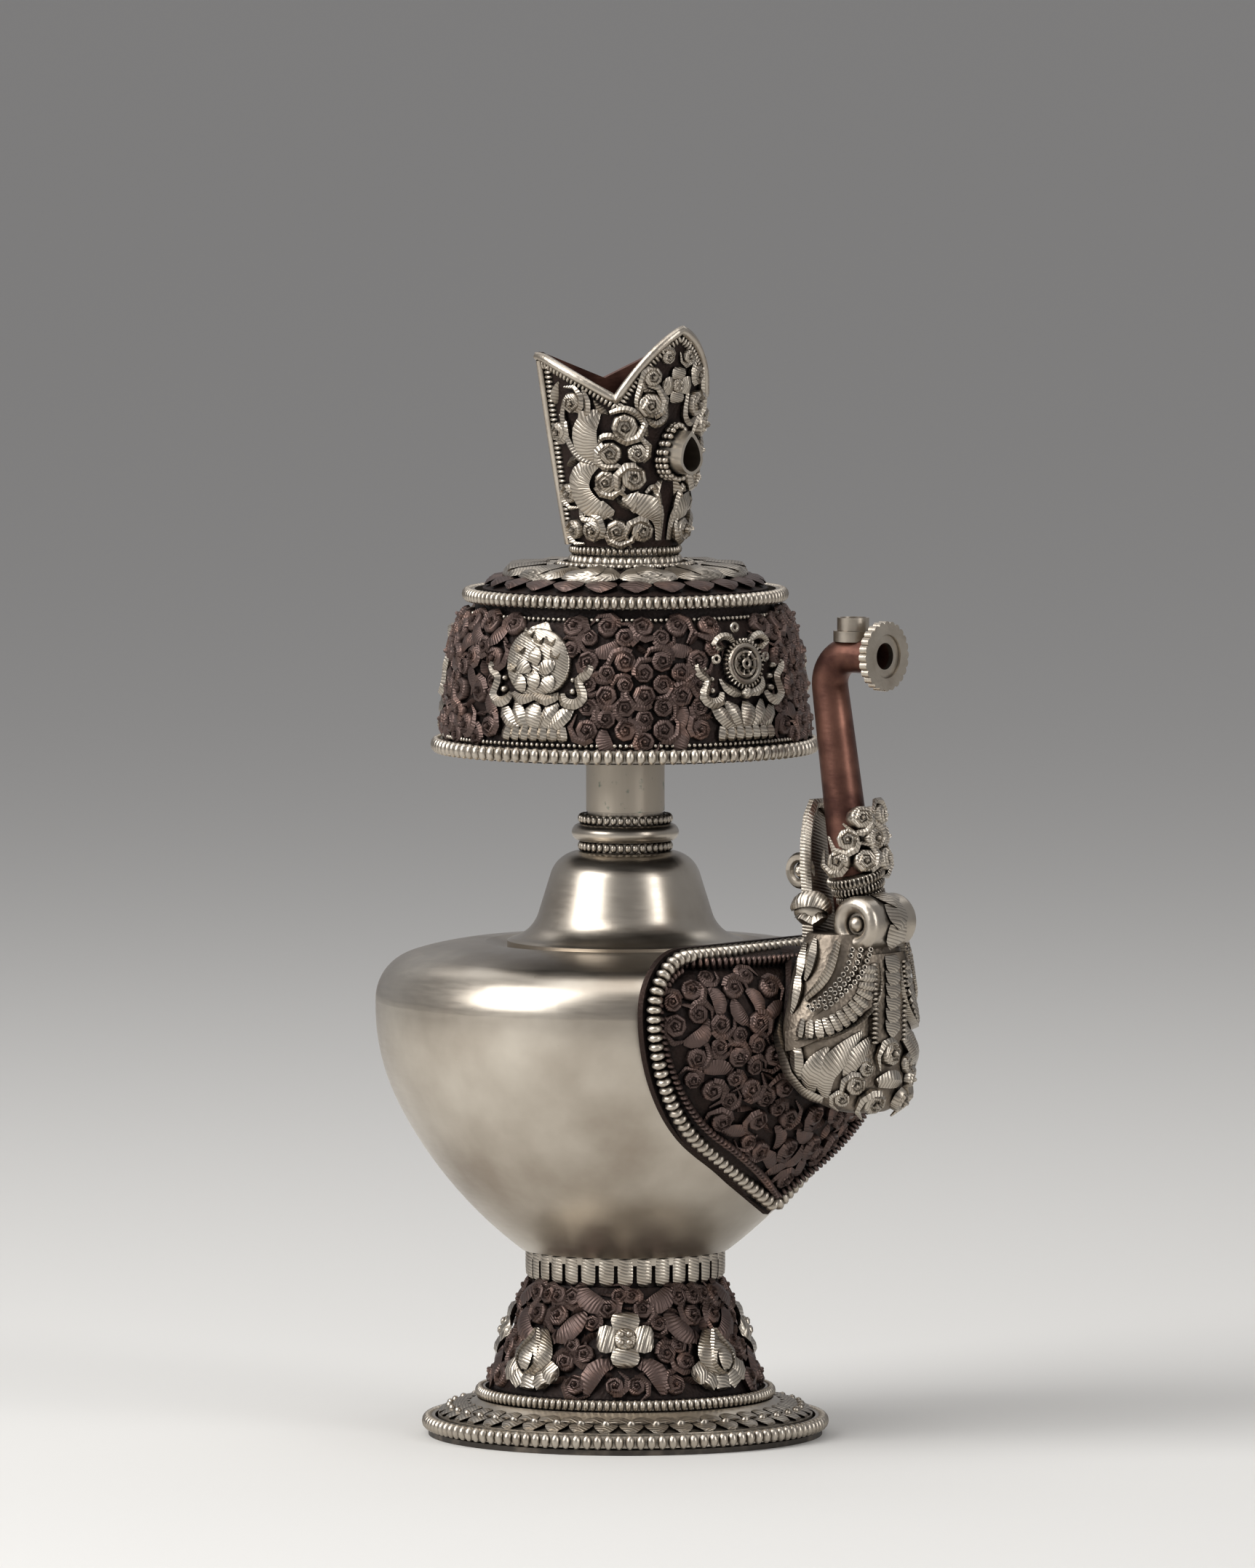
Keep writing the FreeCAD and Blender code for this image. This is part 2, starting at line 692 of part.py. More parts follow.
def ellipse_rod(label, half_width, half_height):
    """An elliptical rod along +X at the height of the spout's root."""
    ellipse = make("Part::Ellipse", label + "_outline", MajorRadius=half_height, MinorRadius=half_width)
    move(ellipse, "vessel_radius / 2", "0", "root_height", sideways, "90")
    rod = make("Part::Extrusion", label, LengthFwd="vessel_radius")
    rod.Base = ellipse
    rod.DirMode = "Custom"
    rod.Dir = Vector(1, 0, 0)
    rod.Solid = True
    return rod


def build_plaque(under):
    """The raised shield: an undercut edge, a skin over the belly, and a hole for the spout's root."""
    shield = extruded("plaque_shield", "YZ_Plane", [plaque_outline("0")], "plaque_back", "vessel_radius")
    undercut = shield.newObject("PartDesign::AdditiveLoft", "plaque_undercut")
    undercut.Profile = draw(sketch_on(shield, "YZ_Plane", "plaque_wide", "plaque_back"), plaque_outline("0"))
    undercut.Sections = [draw(sketch_on(shield, "YZ_Plane", "plaque_narrow", "plaque_back - plaque_depth"),
                              plaque_outline("plaque_undercut"))]
    undercut.Ruled = True
    shield.Tip = undercut
    edge = make("Part::Box", "plaque_edge_block", Length="plaque_front", Width="vessel_radius * 2",
                Height="crest_arc * 3")
    move(edge, "0", "0 - vessel_radius", "0")
    skin = vessel_skin("plaque_skin", "plaque_rise")
    solid = common("plaque_block", shield, fused("plaque_envelope", [edge, skin]))
    hole = ellipse_rod("plaque_hole", "root_half_width + solder_gap", "root_half_height + solder_gap")
    nodes["spout_plaque"] = cut("spout_plaque", cut("plaque_on_vessel", solid, under), hole)
    border = extruded("border_raw", "YZ_Plane", [plaque_outline("0"), plaque_outline("border_width")],
                      "plaque_front + solder_gap", "border_height")
    nodes["plaque_border"] = cut("plaque_border", border, skin)


def shield_half_width(height):
    """Half of the plaque's width at a height: on the bowed sides or on the slopes to the tip."""
    drop = "(plaque_middle - (%s))" % height
    bow = "plaque_half_width - plaque_side_arc + sqrt(plaque_side_arc^2 - %s^2)" % drop
    turn_across = "(plaque_half_width - plaque_side_arc + plaque_side_arc * sin(plaque_slope))"
    slope = "%s + (plaque_side_arc * cos(plaque_slope) - %s) / tan(plaque_slope)" % (turn_across, drop)
    return min(number(bow), number(slope))


def build_plaque_scrolls():
    """The main scrolls of the plaque's relief: round bosses in staggered rows, clear of the spout."""
    shell = cut("scroll_shell", vessel_skin("scroll_top", "plaque_rise + scroll_rise"),
                vessel_skin("scroll_seat", "plaque_rise + solder_gap"))
    rods = []
    for row in range(7):
        height = "plaque_middle + scroll_margin / 2 - %d * scroll_row" % row
        for column in range(-4, 5):
            across = "%.1f * scroll_pitch" % (column + 0.5 * (row % 2))
            reach = (number(across) / number("frill_half_width + scroll_radius")) ** 2
            reach += (number("%s - root_height" % height) / number("frill_half_height + scroll_radius")) ** 2
            low = min(number("plaque_middle"), number(height))
            if reach > 1 and abs(number(across)) < shield_half_width("%.3f" % low) - number("scroll_margin"):
                rods.append(outward_rod("scroll_%d_%d" % (row, column + 4), "scroll_radius", across, height,
                                        "vessel_radius / 2", "vessel_radius"))
    nodes["plaque_scrolls"] = common("plaque_scrolls", shell, fused("scroll_rods", rods))


# Spout
def build_spout_root(under):
    inner = cut("root_shell", vessel_skin("root_skin", "root_rise"), under)
    bore = outward_rod("root_bore_rod", "root_bore", "0", "root_height", "vessel_radius / 2",
                       "tube_foot_out - vessel_radius / 2")
    stub = common("root_stub", inner, ellipse_rod("root_rod", "root_half_width", "root_half_height"))
    nodes["spout_root"] = cut("spout_root", stub, bore)
    outer_skin = vessel_skin("frill_skin", "frill_rise")
    between = cut("frill_shell", outer_skin, vessel_skin("frill_under", "root_rise + solder_gap"))
    frill = common("frill_plate", between, ellipse_rod("frill_rod", "frill_half_width", "frill_half_height"))
    nodes["spout_frill"] = cut("spout_frill", frill, bore)
    return bore


def tube_axis_out(height):
    """How far out the leaning tube's axis lies at a height."""
    return "tube_foot_out - (%s - tube_foot_height) * tan(tube_lean)" % height


def lean_rod(label, radius, low, length):
    """A rod along the tube's axis, from a distance below the tube's foot."""
    rod = make("Part::Cylinder", label, Radius=radius, Height=length)
    return move(rod, "tube_foot_out + (%s) * sin(tube_lean)" % low, "0",
                "tube_foot_height - (%s) * cos(tube_lean)" % low, sideways, "0 - tube_lean")


def head_form(label, grow):
    """The head's pear-shaped outside, swollen by a little when it is the seat for another piece."""
    # Each level of the head: share of its height, step out from its middle, share of its depth and width.
    levels = (
        (0, 4.9, 0.34, 0.31),
        (0.08, 2.8, 0.72, 0.69),
        (0.24, 0.6, 0.96, 0.93),
        (0.45, 0, 1, 1),
        (0.66, 0.6, 0.96, 0.89),
        (0.85, 1.2, 0.88, 0.75),
        (1, 1.6, 0.76, 0.60),
    )
    sections = []
    for index, (height, out, depth, width) in enumerate(levels):
        ellipse = make("Part::Ellipse", "%s_level_%d" % (label, index),
                       MajorRadius="%s * head_half_width + %s" % (width, grow),
                       MinorRadius="%s * head_half_depth + %s" % (depth, grow))
        level = "head_low + %s * head_height + %d * %s" % (height, (height == 1) - (height == 0), grow)
        sections.append(move(ellipse, "head_middle + %s" % out, "0", level, up, "90"))
    form = make("Part::Loft", label)
    form.Sections = sections
    form.Solid = True
    return form


def head_relief():
    """The raised parts of the face: a lip and a cheek below it on each side, and the bridge of the nose."""
    width = "4 * head_half_width"
    place = ("lip_out", "lip_height")
    lip_ring = cut("lip_ring", cross_roll("lip_outer", "lip_radius", width, *place),
                   cross_roll("lip_inner", "lip_radius - lip_width", width, *place))
    cheek_roll = cross_roll("cheek_outer", "cheek_radius", width, "lip_out + wall", "lip_height - wall")
    cheek_moon = cut("cheek_moon", cheek_roll,
                     cross_roll("cheek_inner", "lip_radius + 4 * solder_gap", width, *place))
    bridge = extruded("nose_outline", "YZ_Plane", [[
        ("0 - nose_half_width", "lip_top"),
        ("0 - nose_half_width", "lip_top - nose_drop + nose_point"),
        ("0", "lip_top - nose_drop"),
        ("nose_half_width", "lip_top - nose_drop + nose_point"),
        ("nose_half_width", "lip_top"),
    ]], "head_middle", "2 * head_half_depth")
    reach = make("Part::Box", "face_block", Length="2 * head_half_depth", Width=width, Height="head_height")
    move(reach, "head_middle - lip_back / 2", "0 - 2 * head_half_width", "lip_top - head_height")
    pieces = []
    for name, outline, rise in (("lip", lip_ring, "lip_rise"), ("cheek", cheek_moon, "cheek_rise"),
                                ("nose", bridge, "cheek_rise")):
        raised = common("makara_" + name, head_form(name + "_form", rise), outline)
        pieces.append(common("face_" + name, raised, reach))
    return pieces


def build_head(bore):
    """The sea-monster's head: a hollow casting that the tube stands in."""
    seat = vessel_skin("head_seat", "frill_rise + solder_gap")
    seat_length = "((head_top - tube_foot_height) * 1.25)"
    tube_seat = make("Part::Cone", "head_tube_seat", Radius1="tube_low_radius + solder_gap",
                     Radius2="tube_low_radius + solder_gap - tube_taper * %s / tube_length" % seat_length,
                     Height=seat_length)
    move(tube_seat, "tube_foot_out", "0", "tube_foot_height", sideways, "0 - tube_lean")
    channel = lean_rod("head_channel", "tube_bore", "tube_foot_rise", "tube_foot_rise * 1.6")
    piece = fused("head_face", [head_form("head_form", "0")] + head_relief())
    for name, tool in (("seat", seat), ("tube", tube_seat), ("channel", channel), ("bore", bore)):
        piece = cut("head_less_" + name, piece, tool)
    nodes["makara_head"] = piece


def cross_roll(label, radius, length, out, height):
    """A roll that lies across the head."""
    roll = make("Part::Cylinder", label, Radius=radius, Height=length)
    return move(roll, out, "(%s) / 2" % length, height, Vector(1, 0, 0), "90")


def volutes(label, radius, length, out, height):
    """A roll with a wound end on each side: a ring and a boss."""
    pieces = [cross_roll(label + "_core", radius, length, out, height)]
    for name, y in (("near", "0 - %s / 2" % length), ("far", "%s / 2" % length)):
        ring = make("Part::Torus", "%s_ring_%s" % (label, name), Radius1="volute_share * " + radius,
                    Radius2="(1 - volute_share) * " + radius)
        pieces.append(move(ring, out, y, height, Vector(1, 0, 0), "90"))
        boss = make("Part::Sphere", "%s_boss_%s" % (label, name), Radius="(1 - volute_share) * " + radius)
        pieces.append(move(boss, out, y, height))
    return pieces


def tube_hole(label):
    """Clearance for the leaning tube through the pieces around it."""
    return lean_rod(label, "tube_low_radius + solder_gap", "tube_radius", "tube_length")


def build_snout(head_seat):
    """The curled snout, with a volute on each end, cut to sit on the head."""
    pieces = volutes("snout", "snout_radius", "snout_length", "snout_out", "snout_height")
    curled = fused("snout_volutes", pieces)
    bored = cut("snout_bored", curled, tube_hole("snout_hole"))
    nodes["makara_snout"] = cut("makara_snout", bored, head_seat)


def jaw_front(height):
    """How far out the face of the inner jaw lies at a height: close behind the tube."""
    return "(%s - tube_low_radius / cos(tube_lean) - wall / 2)" % tube_axis_out(height)


def jaw_plate(label):
    """The upright inner jaw behind the tube, bent once."""
    low = jaw_front("jaw_bend")
    high = jaw_front("jaw_high")
    body = make("PartDesign::Body", label)
    sketch = sketch_on(body, "XZ_Plane", label + "_profile")
    draw(sketch, [
        (low, "jaw_low"),
        (low, "jaw_bend"),
        (high, "jaw_high"),
        (high + " - jaw_thickness / 2", "jaw_high"),
        (low + " - jaw_thickness", "jaw_bend"),
        (low + " - jaw_thickness", "jaw_low"),
    ])
    pad = body.newObject("PartDesign::Pad", label + "_pad")
    pad.Profile = sketch
    pad.Midplane = True
    drive(pad, Length="2 * jaw_half_width")
    return body


def build_jaw_and_flowers(head_seat):
    """The inner jaw with an eye on each side and a curl on its back, and the flowers on the snout."""
    pieces = [jaw_plate("jaw_raw")]
    curl_out = "(%s - jaw_thickness - curl_radius / 2)" % jaw_front("curl_height")
    pieces += volutes("jaw_curl", "curl_radius", "curl_length", curl_out, "curl_height")
    for name, side in (("near", "0 - "), ("far", "")):
        eye = make("Part::Sphere", "jaw_eye_" + name, Radius="eye_radius")
        eye_out = jaw_front("jaw_bend") + " - jaw_thickness / 2"
        pieces.append(move(eye, eye_out, side + "(jaw_half_width - wall)", "eye_height"))
    nodes["makara_jaw"] = cut("makara_jaw", fused("jaw_fused", pieces), head_seat)
    blooms = []
    places = ((0, 1), (0, -1), (1, 0), (1, 1.2), (1, -1.2), (2, 0.6), (2, -0.6))
    for index, (level, side) in enumerate(places):
        bloom = make("Part::Sphere", "flower_%d" % index, Radius="flower_radius")
        blooms.append(move(bloom, "flower_out - %d * wall / 2" % level, "%.1f * flower_spread" % side,
                           "flower_low + %d * flower_step" % level))
    bunch = cut("flower_bunch", fused("flower_blooms", blooms), tube_hole("flower_hole"))
    nodes["makara_flowers"] = cut("makara_flowers", bunch, cross_roll(
        "flower_snout", "snout_radius + solder_gap", "snout_length * 1.2", "snout_out", "snout_height"))


def build_tube():
    """A tapered copper tube with a bend and a level nose, bored through."""
    body = make("PartDesign::Body", "spout_tube_raw")
    taper = draw(sketch_on(body, "XZ_Plane", "tube_taper"), [
        ("0", "0"), ("tube_low_radius", "0"), ("tube_radius", "tube_length"), ("0", "tube_length")])
    turning = body.newObject("PartDesign::Revolution", "tube_turning")
    turning.Profile = taper
    turning.ReferenceAxis = (taper, ["V_Axis"])
    turning.Angle = 360
    move(body, "tube_foot_out", "0", "tube_foot_height", sideways, "0 - tube_lean")
    bend = tube_bend("tube_bend", "tube_radius")
    length = "nose_length - solder_gap"
    nose = outward_rod("tube_nose", "tube_radius", "0", "nozzle_up", "nose_start", length)
    outer = fused("tube_outer", [body, bend, nose])
    inner = fused("tube_inner", [
        lean_rod("tube_bore_rod", "tube_bore", "wall", "tube_length + wall"),
        tube_bend("tube_bend_bore", "tube_bore"),
        outward_rod("tube_nose_bore", "tube_bore", "0", "nozzle_up", "nose_start", length + " + wall"),
    ])
    nodes["spout_tube"] = cut("spout_tube", outer, inner)


def tube_bend(label, radius):
    """Part of a torus that turns the tube from its lean to level, through a right angle and the lean."""
    bend = make("Part::Torus", label, Radius1="bend_radius", Radius2=radius, Angle3="90 + tube_lean")
    move(bend, "nose_start", "0", "nozzle_up - bend_radius")
    # The sweep starts straight above the middle of the bend and goes back and down to the tube.
    bend.Placement.Rotation = FreeCAD.Rotation(Vector(0, 0, 1), Vector(-1, 0, 0), Vector(0, -1, 0), "XYZ")
    return bend


def build_nozzle():
    """The toothed rosette at the mouth, and a small empty setting on top of the bend."""
    body = extruded("spout_rosette", "YZ_Plane", [], "0", "rosette_thickness")
    move(body, "nozzle_out", "0", "nozzle_up")
    sketch = body.Group[0]
    for radius in ("rosette_radius", "tube_bore"):
        circle(sketch, "0", "0", radius)
    tooth = sketch_on(body, "YZ_Plane", "tooth_outline")
    circle(tooth, "0", "rosette_radius", "tooth_radius")
    tooth_pad = body.newObject("PartDesign::Pad", "tooth_pad")
    tooth_pad.Profile = tooth
    drive(tooth_pad, Length="rosette_thickness")
    teeth = body.newObject("PartDesign::PolarPattern", "teeth")
    teeth.Originals = [tooth_pad]
    teeth.Axis = (sketch, ["N_Axis"])
    teeth.Angle = 360
    drive(teeth, Occurrences="rosette_teeth")
    body.Tip = teeth
    recess = sketch_on(body, "YZ_Plane", "recess_outline", "rosette_thickness")
    circle(recess, "0", "0", "rosette_recess")
    pocket = body.newObject("PartDesign::Pocket", "recess")
    pocket.Profile = recess
    drive(pocket, Length="rosette_thickness / 3")
    nodes["spout_rosette"] = body
    seat = "(nozzle_up + tube_radius - tube_wall)"
    collar = make("Part::Cylinder", "bezel_collar_raw", Radius="bezel_collar_radius",
                  Height="bezel_collar_height + tube_wall")
    move(collar, "nose_start", "0", seat)
    nose = outward_rod("bezel_nose_saddle", "tube_radius + solder_gap", "0", "nozzle_up", "nose_start",
                       "nose_length")
    bend = tube_bend("bezel_bend_saddle", "tube_radius + solder_gap")
    nodes["bezel_collar"] = cut("bezel_collar", cut("bezel_collar_on_nose", collar, nose), bend)
    cup_low = "%s + bezel_collar_height + tube_wall + solder_gap" % seat
    cup = make("Part::Cylinder", "bezel_cup", Radius="bezel_radius", Height="bezel_height")
    move(cup, "nose_start", "0", cup_low)
    hollow = make("Part::Cylinder", "bezel_hollow", Radius="bezel_radius - bezel_wall", Height="bezel_height")
    move(hollow, "nose_start", "0", cup_low + " + bezel_wall")
    nodes["spout_bezel"] = cut("spout_bezel", cup, hollow)


def circle(sketch, across, upward, radius):
    """A circle held by its middle and its radius."""
    middle = Vector(number(across), number(upward), 0)
    ring = sketch.addGeometry(Part.Circle(middle, Vector(0, 0, 1), number(radius)))
    hold_point(sketch, ring, 3, (across, upward), middle)
    held = sketch.addConstraint(Sketcher.Constraint("Radius", ring, number(radius)))
    sketch.setExpression("Constraints[%d]" % held, bind(radius))


# Neck
def build_neck():
    seat = "mouth_height + solder_gap"
    edge = "mouth_height + bell_edge"
    nodes["shoulder_bell"] = turned("shoulder_bell", [
        ("bell_radius - 2 * wall", seat),
        ("bell_radius", seat),
        ("bell_radius", edge),
        ("bell_radius - bell_edge / 2", edge + " + bell_edge / 4", "bell_flare_arc", -1),
        ("bell_flare_radius", "bell_flare"),
        ("bell_top_radius", "bell_top", "bell_round", 1),
        ("neck_bead_outer", "neck_height"),
        ("neck_radius", "neck_height"),
        ("neck_radius", "neck_top"),
        ("neck_bore", "neck_top"),
        ("neck_bore", "neck_height - wall"),
        ("neck_bead_outer", "neck_height - wall"),
        ("bell_top_radius - wall", "bell_top - wall / 2"),
        ("bell_flare_radius - wall", "bell_flare - wall / 2", "bell_flare_arc", 1),
        ("bell_radius - 2 * wall", edge + " - bell_edge / 4"),
    ])
    low = "neck_height + solder_gap"
    inner = "neck_radius + solder_gap"
    ring_of_beads("neck_lower_beads", inner, "neck_bead_outer", low, "neck_bead_height")
    low += " + neck_bead_height + solder_gap"
    ring_of_beads("neck_ring", inner, "neck_ring_outer", low, "neck_ring_height")
    low += " + neck_ring_height + solder_gap"
    ring_of_beads("neck_upper_beads", inner, "neck_bead_outer", low, "neck_bead_height")


# Plug
def build_plug():
    """The tube that carries the lid: a spigot in the neck, a shoulder on its mouth, and open through."""
    nodes["plug_tube"] = turned("plug_tube", [
        ("plug_bore", "plug_low"),
        ("neck_bore - running_gap", "plug_low"),
        ("neck_bore - running_gap", "neck_top + solder_gap"),
        ("plug_radius", "neck_top + solder_gap"),
        ("plug_radius", "dome_height - wall - solder_gap"),
        ("plug_bore", "dome_height - wall - solder_gap"),
    ])


# Lid
def build_lid():
    ring_of_beads("lid_rim_beads", "lid_radius", "lid_rim_outer", "lid_low", "lid_rim_height")
    nodes["lid_wall"] = turned("lid_wall", [
        ("lid_foot - wall", "lid_low"),
        ("lid_foot", "lid_low"),
        ("lid_foot", "lid_rim_top"),
        ("lid_middle_radius", "lid_middle", "lid_arc", 1),
        ("lid_top_radius", "lid_groove"),
        ("lid_groove_radius", "lid_groove"),
        ("lid_groove_radius", "lid_ring_low - solder_gap"),
        ("lid_ledge_radius", "lid_ring_low - solder_gap"),
        ("lid_ledge_radius", "lid_groove"),
        ("lid_top_radius - wall", "lid_groove - wall", "lid_arc", -1),
        ("lid_middle_radius - wall", "lid_middle"),
        ("lid_foot - wall", "lid_rim_top"),
    ])
    ring_of_beads("lid_top_beads", "lid_ring_inner", "lid_ring_outer", "lid_ring_low", "lid_ring_height")
    nodes["lid_top_plate"] = turned("lid_top_plate", [
        ("plate_radius - wall", "lid_ring_low"),
        ("plate_radius", "lid_ring_low"),
        ("plate_radius", "dome_edge", "dome_arc", 1),
        ("dome_flat_radius", "dome_height"),
        ("plug_bore", "dome_height"),
        ("plug_bore", "dome_height - wall"),
        ("dome_flat_radius", "dome_height - wall", "dome_arc", -1),
        ("plate_radius - wall", "dome_edge - wall"),
    ])
    sleeve_top = "dome_height - wall - solder_gap"
    nodes["lid_sleeve"] = turned("lid_sleeve", [
        ("plug_radius + running_gap", "sleeve_low"),
        ("plug_radius + running_gap + sleeve_wall", "sleeve_low"),
        ("plug_radius + running_gap + sleeve_wall", sleeve_top),
        ("plug_radius + running_gap", sleeve_top),
    ])
    build_lid_petals()
    build_lid_scrolls()
    build_emblems()


def petal_row(label, count, low_radius, tip_radius, half_width, arc, rise):
    """A row of petals laid over the domed plate."""
    cover = turned(label + "_cover", [
        ("plate_radius", "dome_edge + solder_gap"),
        ("plate_radius", "dome_edge + solder_gap + " + rise, "dome_arc", 1),
        ("dome_flat_radius", "dome_height + solder_gap + " + rise),
        ("dome_flat_radius", "dome_height + solder_gap", "dome_arc", -1),
    ])
    petals = extruded(label + "_petals", "XY_Plane", [[
        (low_radius, "0 - " + half_width, arc, 1),
        (tip_radius, "0", arc, 1),
        (low_radius, half_width),
    ]], "lid_ring_low", "lid_ring_height * 4")
    around(petals, petals.Tip, count)
    nodes[label] = turn_with_lid(common(label, cover, petals))


def build_lid_petals():
    petal_row("lid_petals", "petal_count", "petal_low_radius", "petal_tip_radius", "petal_half_width",
              "petal_arc", "petal_rise")
    petal_row("lid_leaves", "leaf_count", "leaf_low_radius", "leaf_tip_radius", "leaf_half_width",
              "leaf_arc", "leaf_rise")
    ring_of_beads("lid_crown_beads", "crown_bead_inner", "crown_bead_outer", "dome_height + solder_gap",
                  "crown_bead_height")


def lid_skin(label, rise):
    """A skin over the lid's wall, for cutting ornaments to its curve."""
    seat = "%s + solder_gap"
    top = "%s + solder_gap + " + rise
    return turned(label, [
        (seat % "lid_foot", seat % "lid_rim_top"),
        (top % "lid_foot", seat % "lid_rim_top"),
        (top % "lid_middle_radius", "lid_middle", "lid_arc", 1),
        (top % "lid_top_radius", "lid_groove"),
        (seat % "lid_top_radius", "lid_groove", "lid_arc", -1),
        (seat % "lid_middle_radius", "lid_middle"),
    ])


def build_lid_scrolls():
    """The main scrolls of the lid's relief: two rows of four and one of three between each two emblems."""
    skin = lid_skin("lid_scroll_skin", "scroll_rise")
    rods = []
    for row in range(3):
        height = "lid_rim_top + (scroll_low_share + %d * scroll_row_share) * lid_wall_height" % row
        rods.append(outward_rod("lid_scroll_rod_%d" % row, "scroll_radius", "0", height, "plug_radius",
                                "lid_rim_outer"))
    outer_rows = fused("lid_scroll_outer", [rods[0], rods[2]])
    columns = []
    for field in range(5):
        for step in (-1.5, -1, -0.5, 0, 0.5, 1, 1.5):
            label = "lid_scroll_%d_%d" % (field, len(columns))
            column = common(label, skin, rods[1] if step == int(step) else outer_rows)
            angle = "lid_turn + %d + %.1f * scroll_turn" % (36 + 72 * field, step)
            columns.append(move(column, axis=up, angle=angle))
    nodes["lid_scrolls"] = make("Part::Compound", "lid_scrolls")
    nodes["lid_scrolls"].Links = columns


def build_emblems():
    """Five emblems on lotus bases, bent to the lid's wall."""
    skin = lid_skin("emblem_skin", "emblem_rise")
    disc = outward_rod("emblem_disc", "emblem_radius", "0", "emblem_height", "plug_radius", "lid_rim_outer")
    stem = outward_rod("emblem_stem", "emblem_base_width * 0.32", "0",
                       "emblem_base_low + emblem_base_height", "plug_radius", "lid_rim_outer")
    base = make("Part::Box", "emblem_base", Length="lid_rim_outer", Width="emblem_base_width",
                Height="emblem_base_height")
    move(base, "plug_radius", "0 - emblem_base_width / 2", "emblem_base_low")
    outline = fused("emblem_outline", [disc, stem, base])
    for index in range(5):
        label = "lid_emblem_%d" % (index + 1)
        nodes[label] = move(common(label, skin, outline), axis=up, angle="lid_turn + %d" % (72 * index))


# Finial
def finial_cone(label, inset):
    """The flared sleeve, set back as it rises: a solid, drawn in by an inset."""
    rings = []
    for name, radius, back, height in (("low", "finial_low_radius", "0", "finial_low"),
                                       ("high", "finial_high_radius", "finial_set_back", "finial_high")):
        ring = make("Part::Circle", "%s_%s" % (label, name), Radius="%s - %s" % (radius, inset))
        rings.append(move(ring, "0 - " + back, "0", height))
    cone = make("Part::Loft", label)
    cone.Sections = rings
    cone.Solid = True
    cone.Ruled = True
    return cone


def crown_half(label, side):
    """What one side of the crown keeps, as it is seen from that side: a straight wing, a dip and a bow."""
    mirror = "%d * " % side
    edge = "finial_high_radius * 1.5"
    body = extruded(label, "YZ_Plane", [[
        (mirror + edge, "dome_height"),
        (mirror + edge, "crown_corner"),
        (mirror + "crown_corner_across", "crown_corner"),
        (mirror + "crown_dip_across", "crown_dip", "crown_arc", side),
        (mirror + "(0 - crown_peak_across)", "crown_peak"),
        (mirror + "(0 - crown_peak_across)", "finial_high + wall"),
        (mirror + "(0 - %s)" % edge, "finial_high + wall"),
        (mirror + "(0 - %s)" % edge, "dome_height"),
    ]], "0 - finial_high_radius * 2", "finial_high_radius * 4")
    return move(body, axis=up, angle="%d * crown_view" % side)


def build_finial():
    ring_low = "dome_height + solder_gap"
    ring_of_beads("finial_ring", "plug_bore", "finial_ring_outer", ring_low, "finial_ring_height")
    ring_of_beads("finial_beads", "finial_bead_inner", "finial_bead_outer",
                  ring_low + " + finial_ring_height + solder_gap", "finial_bead_height")
    outer = finial_cone("finial_outer", "0")
    sheet_metal = cut("finial_sleeve", outer, finial_cone("finial_inner", "finial_wall"))
    front = make("Part::Box", "finial_front_block", Length="finial_high_radius * 2",
                 Width="finial_high_radius * 4", Height="finial_high")
    move(front, "0 - finial_back", "0 - finial_high_radius * 2", "dome_height")
    crown = make("Part::MultiCommon", "finial_front")
    crown.Shapes = [sheet_metal, front, crown_half("crown_left", -1), crown_half("crown_right", 1)]
    nodes["finial_front"] = turn_with_lid(crown)
    back = extruded("finial_back", "YZ_Plane", [[
        ("0 - finial_back_low", "finial_low"),
        ("finial_back_low", "finial_low"),
        ("finial_back_high", "crown_corner"),
        ("0 - finial_back_high", "crown_corner"),
    ]], "0 - finial_back - finial_wall - solder_gap", "finial_wall")
    nodes["finial_back"] = turn_with_lid(back)
    build_jewel_setting(outer)


def teardrop(grow):
    """Teardrop outline with its point up."""
    width = "(jewel_half_width + %s)" % grow
    tip = "jewel_height + jewel_tip + 1.6 * " + grow
    drop = "jewel_height - jewel_drop - " + grow
    shoulder = "jewel_height - jewel_drop / 4"
    return [
        ("0", drop, "1.15 * " + width, 1),
        (width, shoulder, "2.6 * " + width, 1),
        ("0", tip, "2.6 * " + width, 1),
        ("0 - " + width, shoulder, "1.15 * " + width, 1),
    ]


def build_jewel_setting(outer):
    """An empty teardrop setting on the front of the finial, in a collar of beads."""
    start = "finial_low_radius"
    setting = extruded("jewel_setting_raw", "YZ_Plane", [teardrop("0"), teardrop("(0 - jewel_wall)")], start,
                       "jewel_front - finial_low_radius")
    nodes["finial_bezel"] = turn_with_lid(cut("finial_bezel", setting, outer))
    collar = extruded("jewel_collar_raw", "YZ_Plane", [teardrop("jewel_collar_wall"), teardrop("solder_gap")],
                      start, "jewel_collar_front - finial_low_radius")
    nodes["finial_bezel_beads"] = turn_with_lid(cut("finial_bezel_beads", collar, outer))


build_foot()
build_vessel()
vessel_envelope = vessel_skin("vessel_envelope", "solder_gap")
build_plaque(vessel_envelope)
build_plaque_scrolls()
spout_bore = build_spout_root(vessel_envelope)
build_head(spout_bore)
head_seat_form = head_form("head_seat_form", "solder_gap")
build_snout(head_seat_form)
build_jaw_and_flowers(head_seat_form)
build_tube()
build_nozzle()
build_neck()
build_plug()
build_lid()
build_finial()
document.recompute()

faults = []
for item in document.Objects:
    if "Invalid" in item.State or "Error" in item.State:
        faults.append(item.Name)
for label, item in nodes.items():
    if item.Shape.isNull() or not item.Shape.isValid() or not item.Shape.Solids:
        faults.append(label)
if faults:
    raise RuntimeError("not built: " + ", ".join(faults))

os.makedirs("parts", exist_ok=True)
for label, item in nodes.items():
    item.Label = label
    item.Shape.exportStep("parts/%s.step" % label)
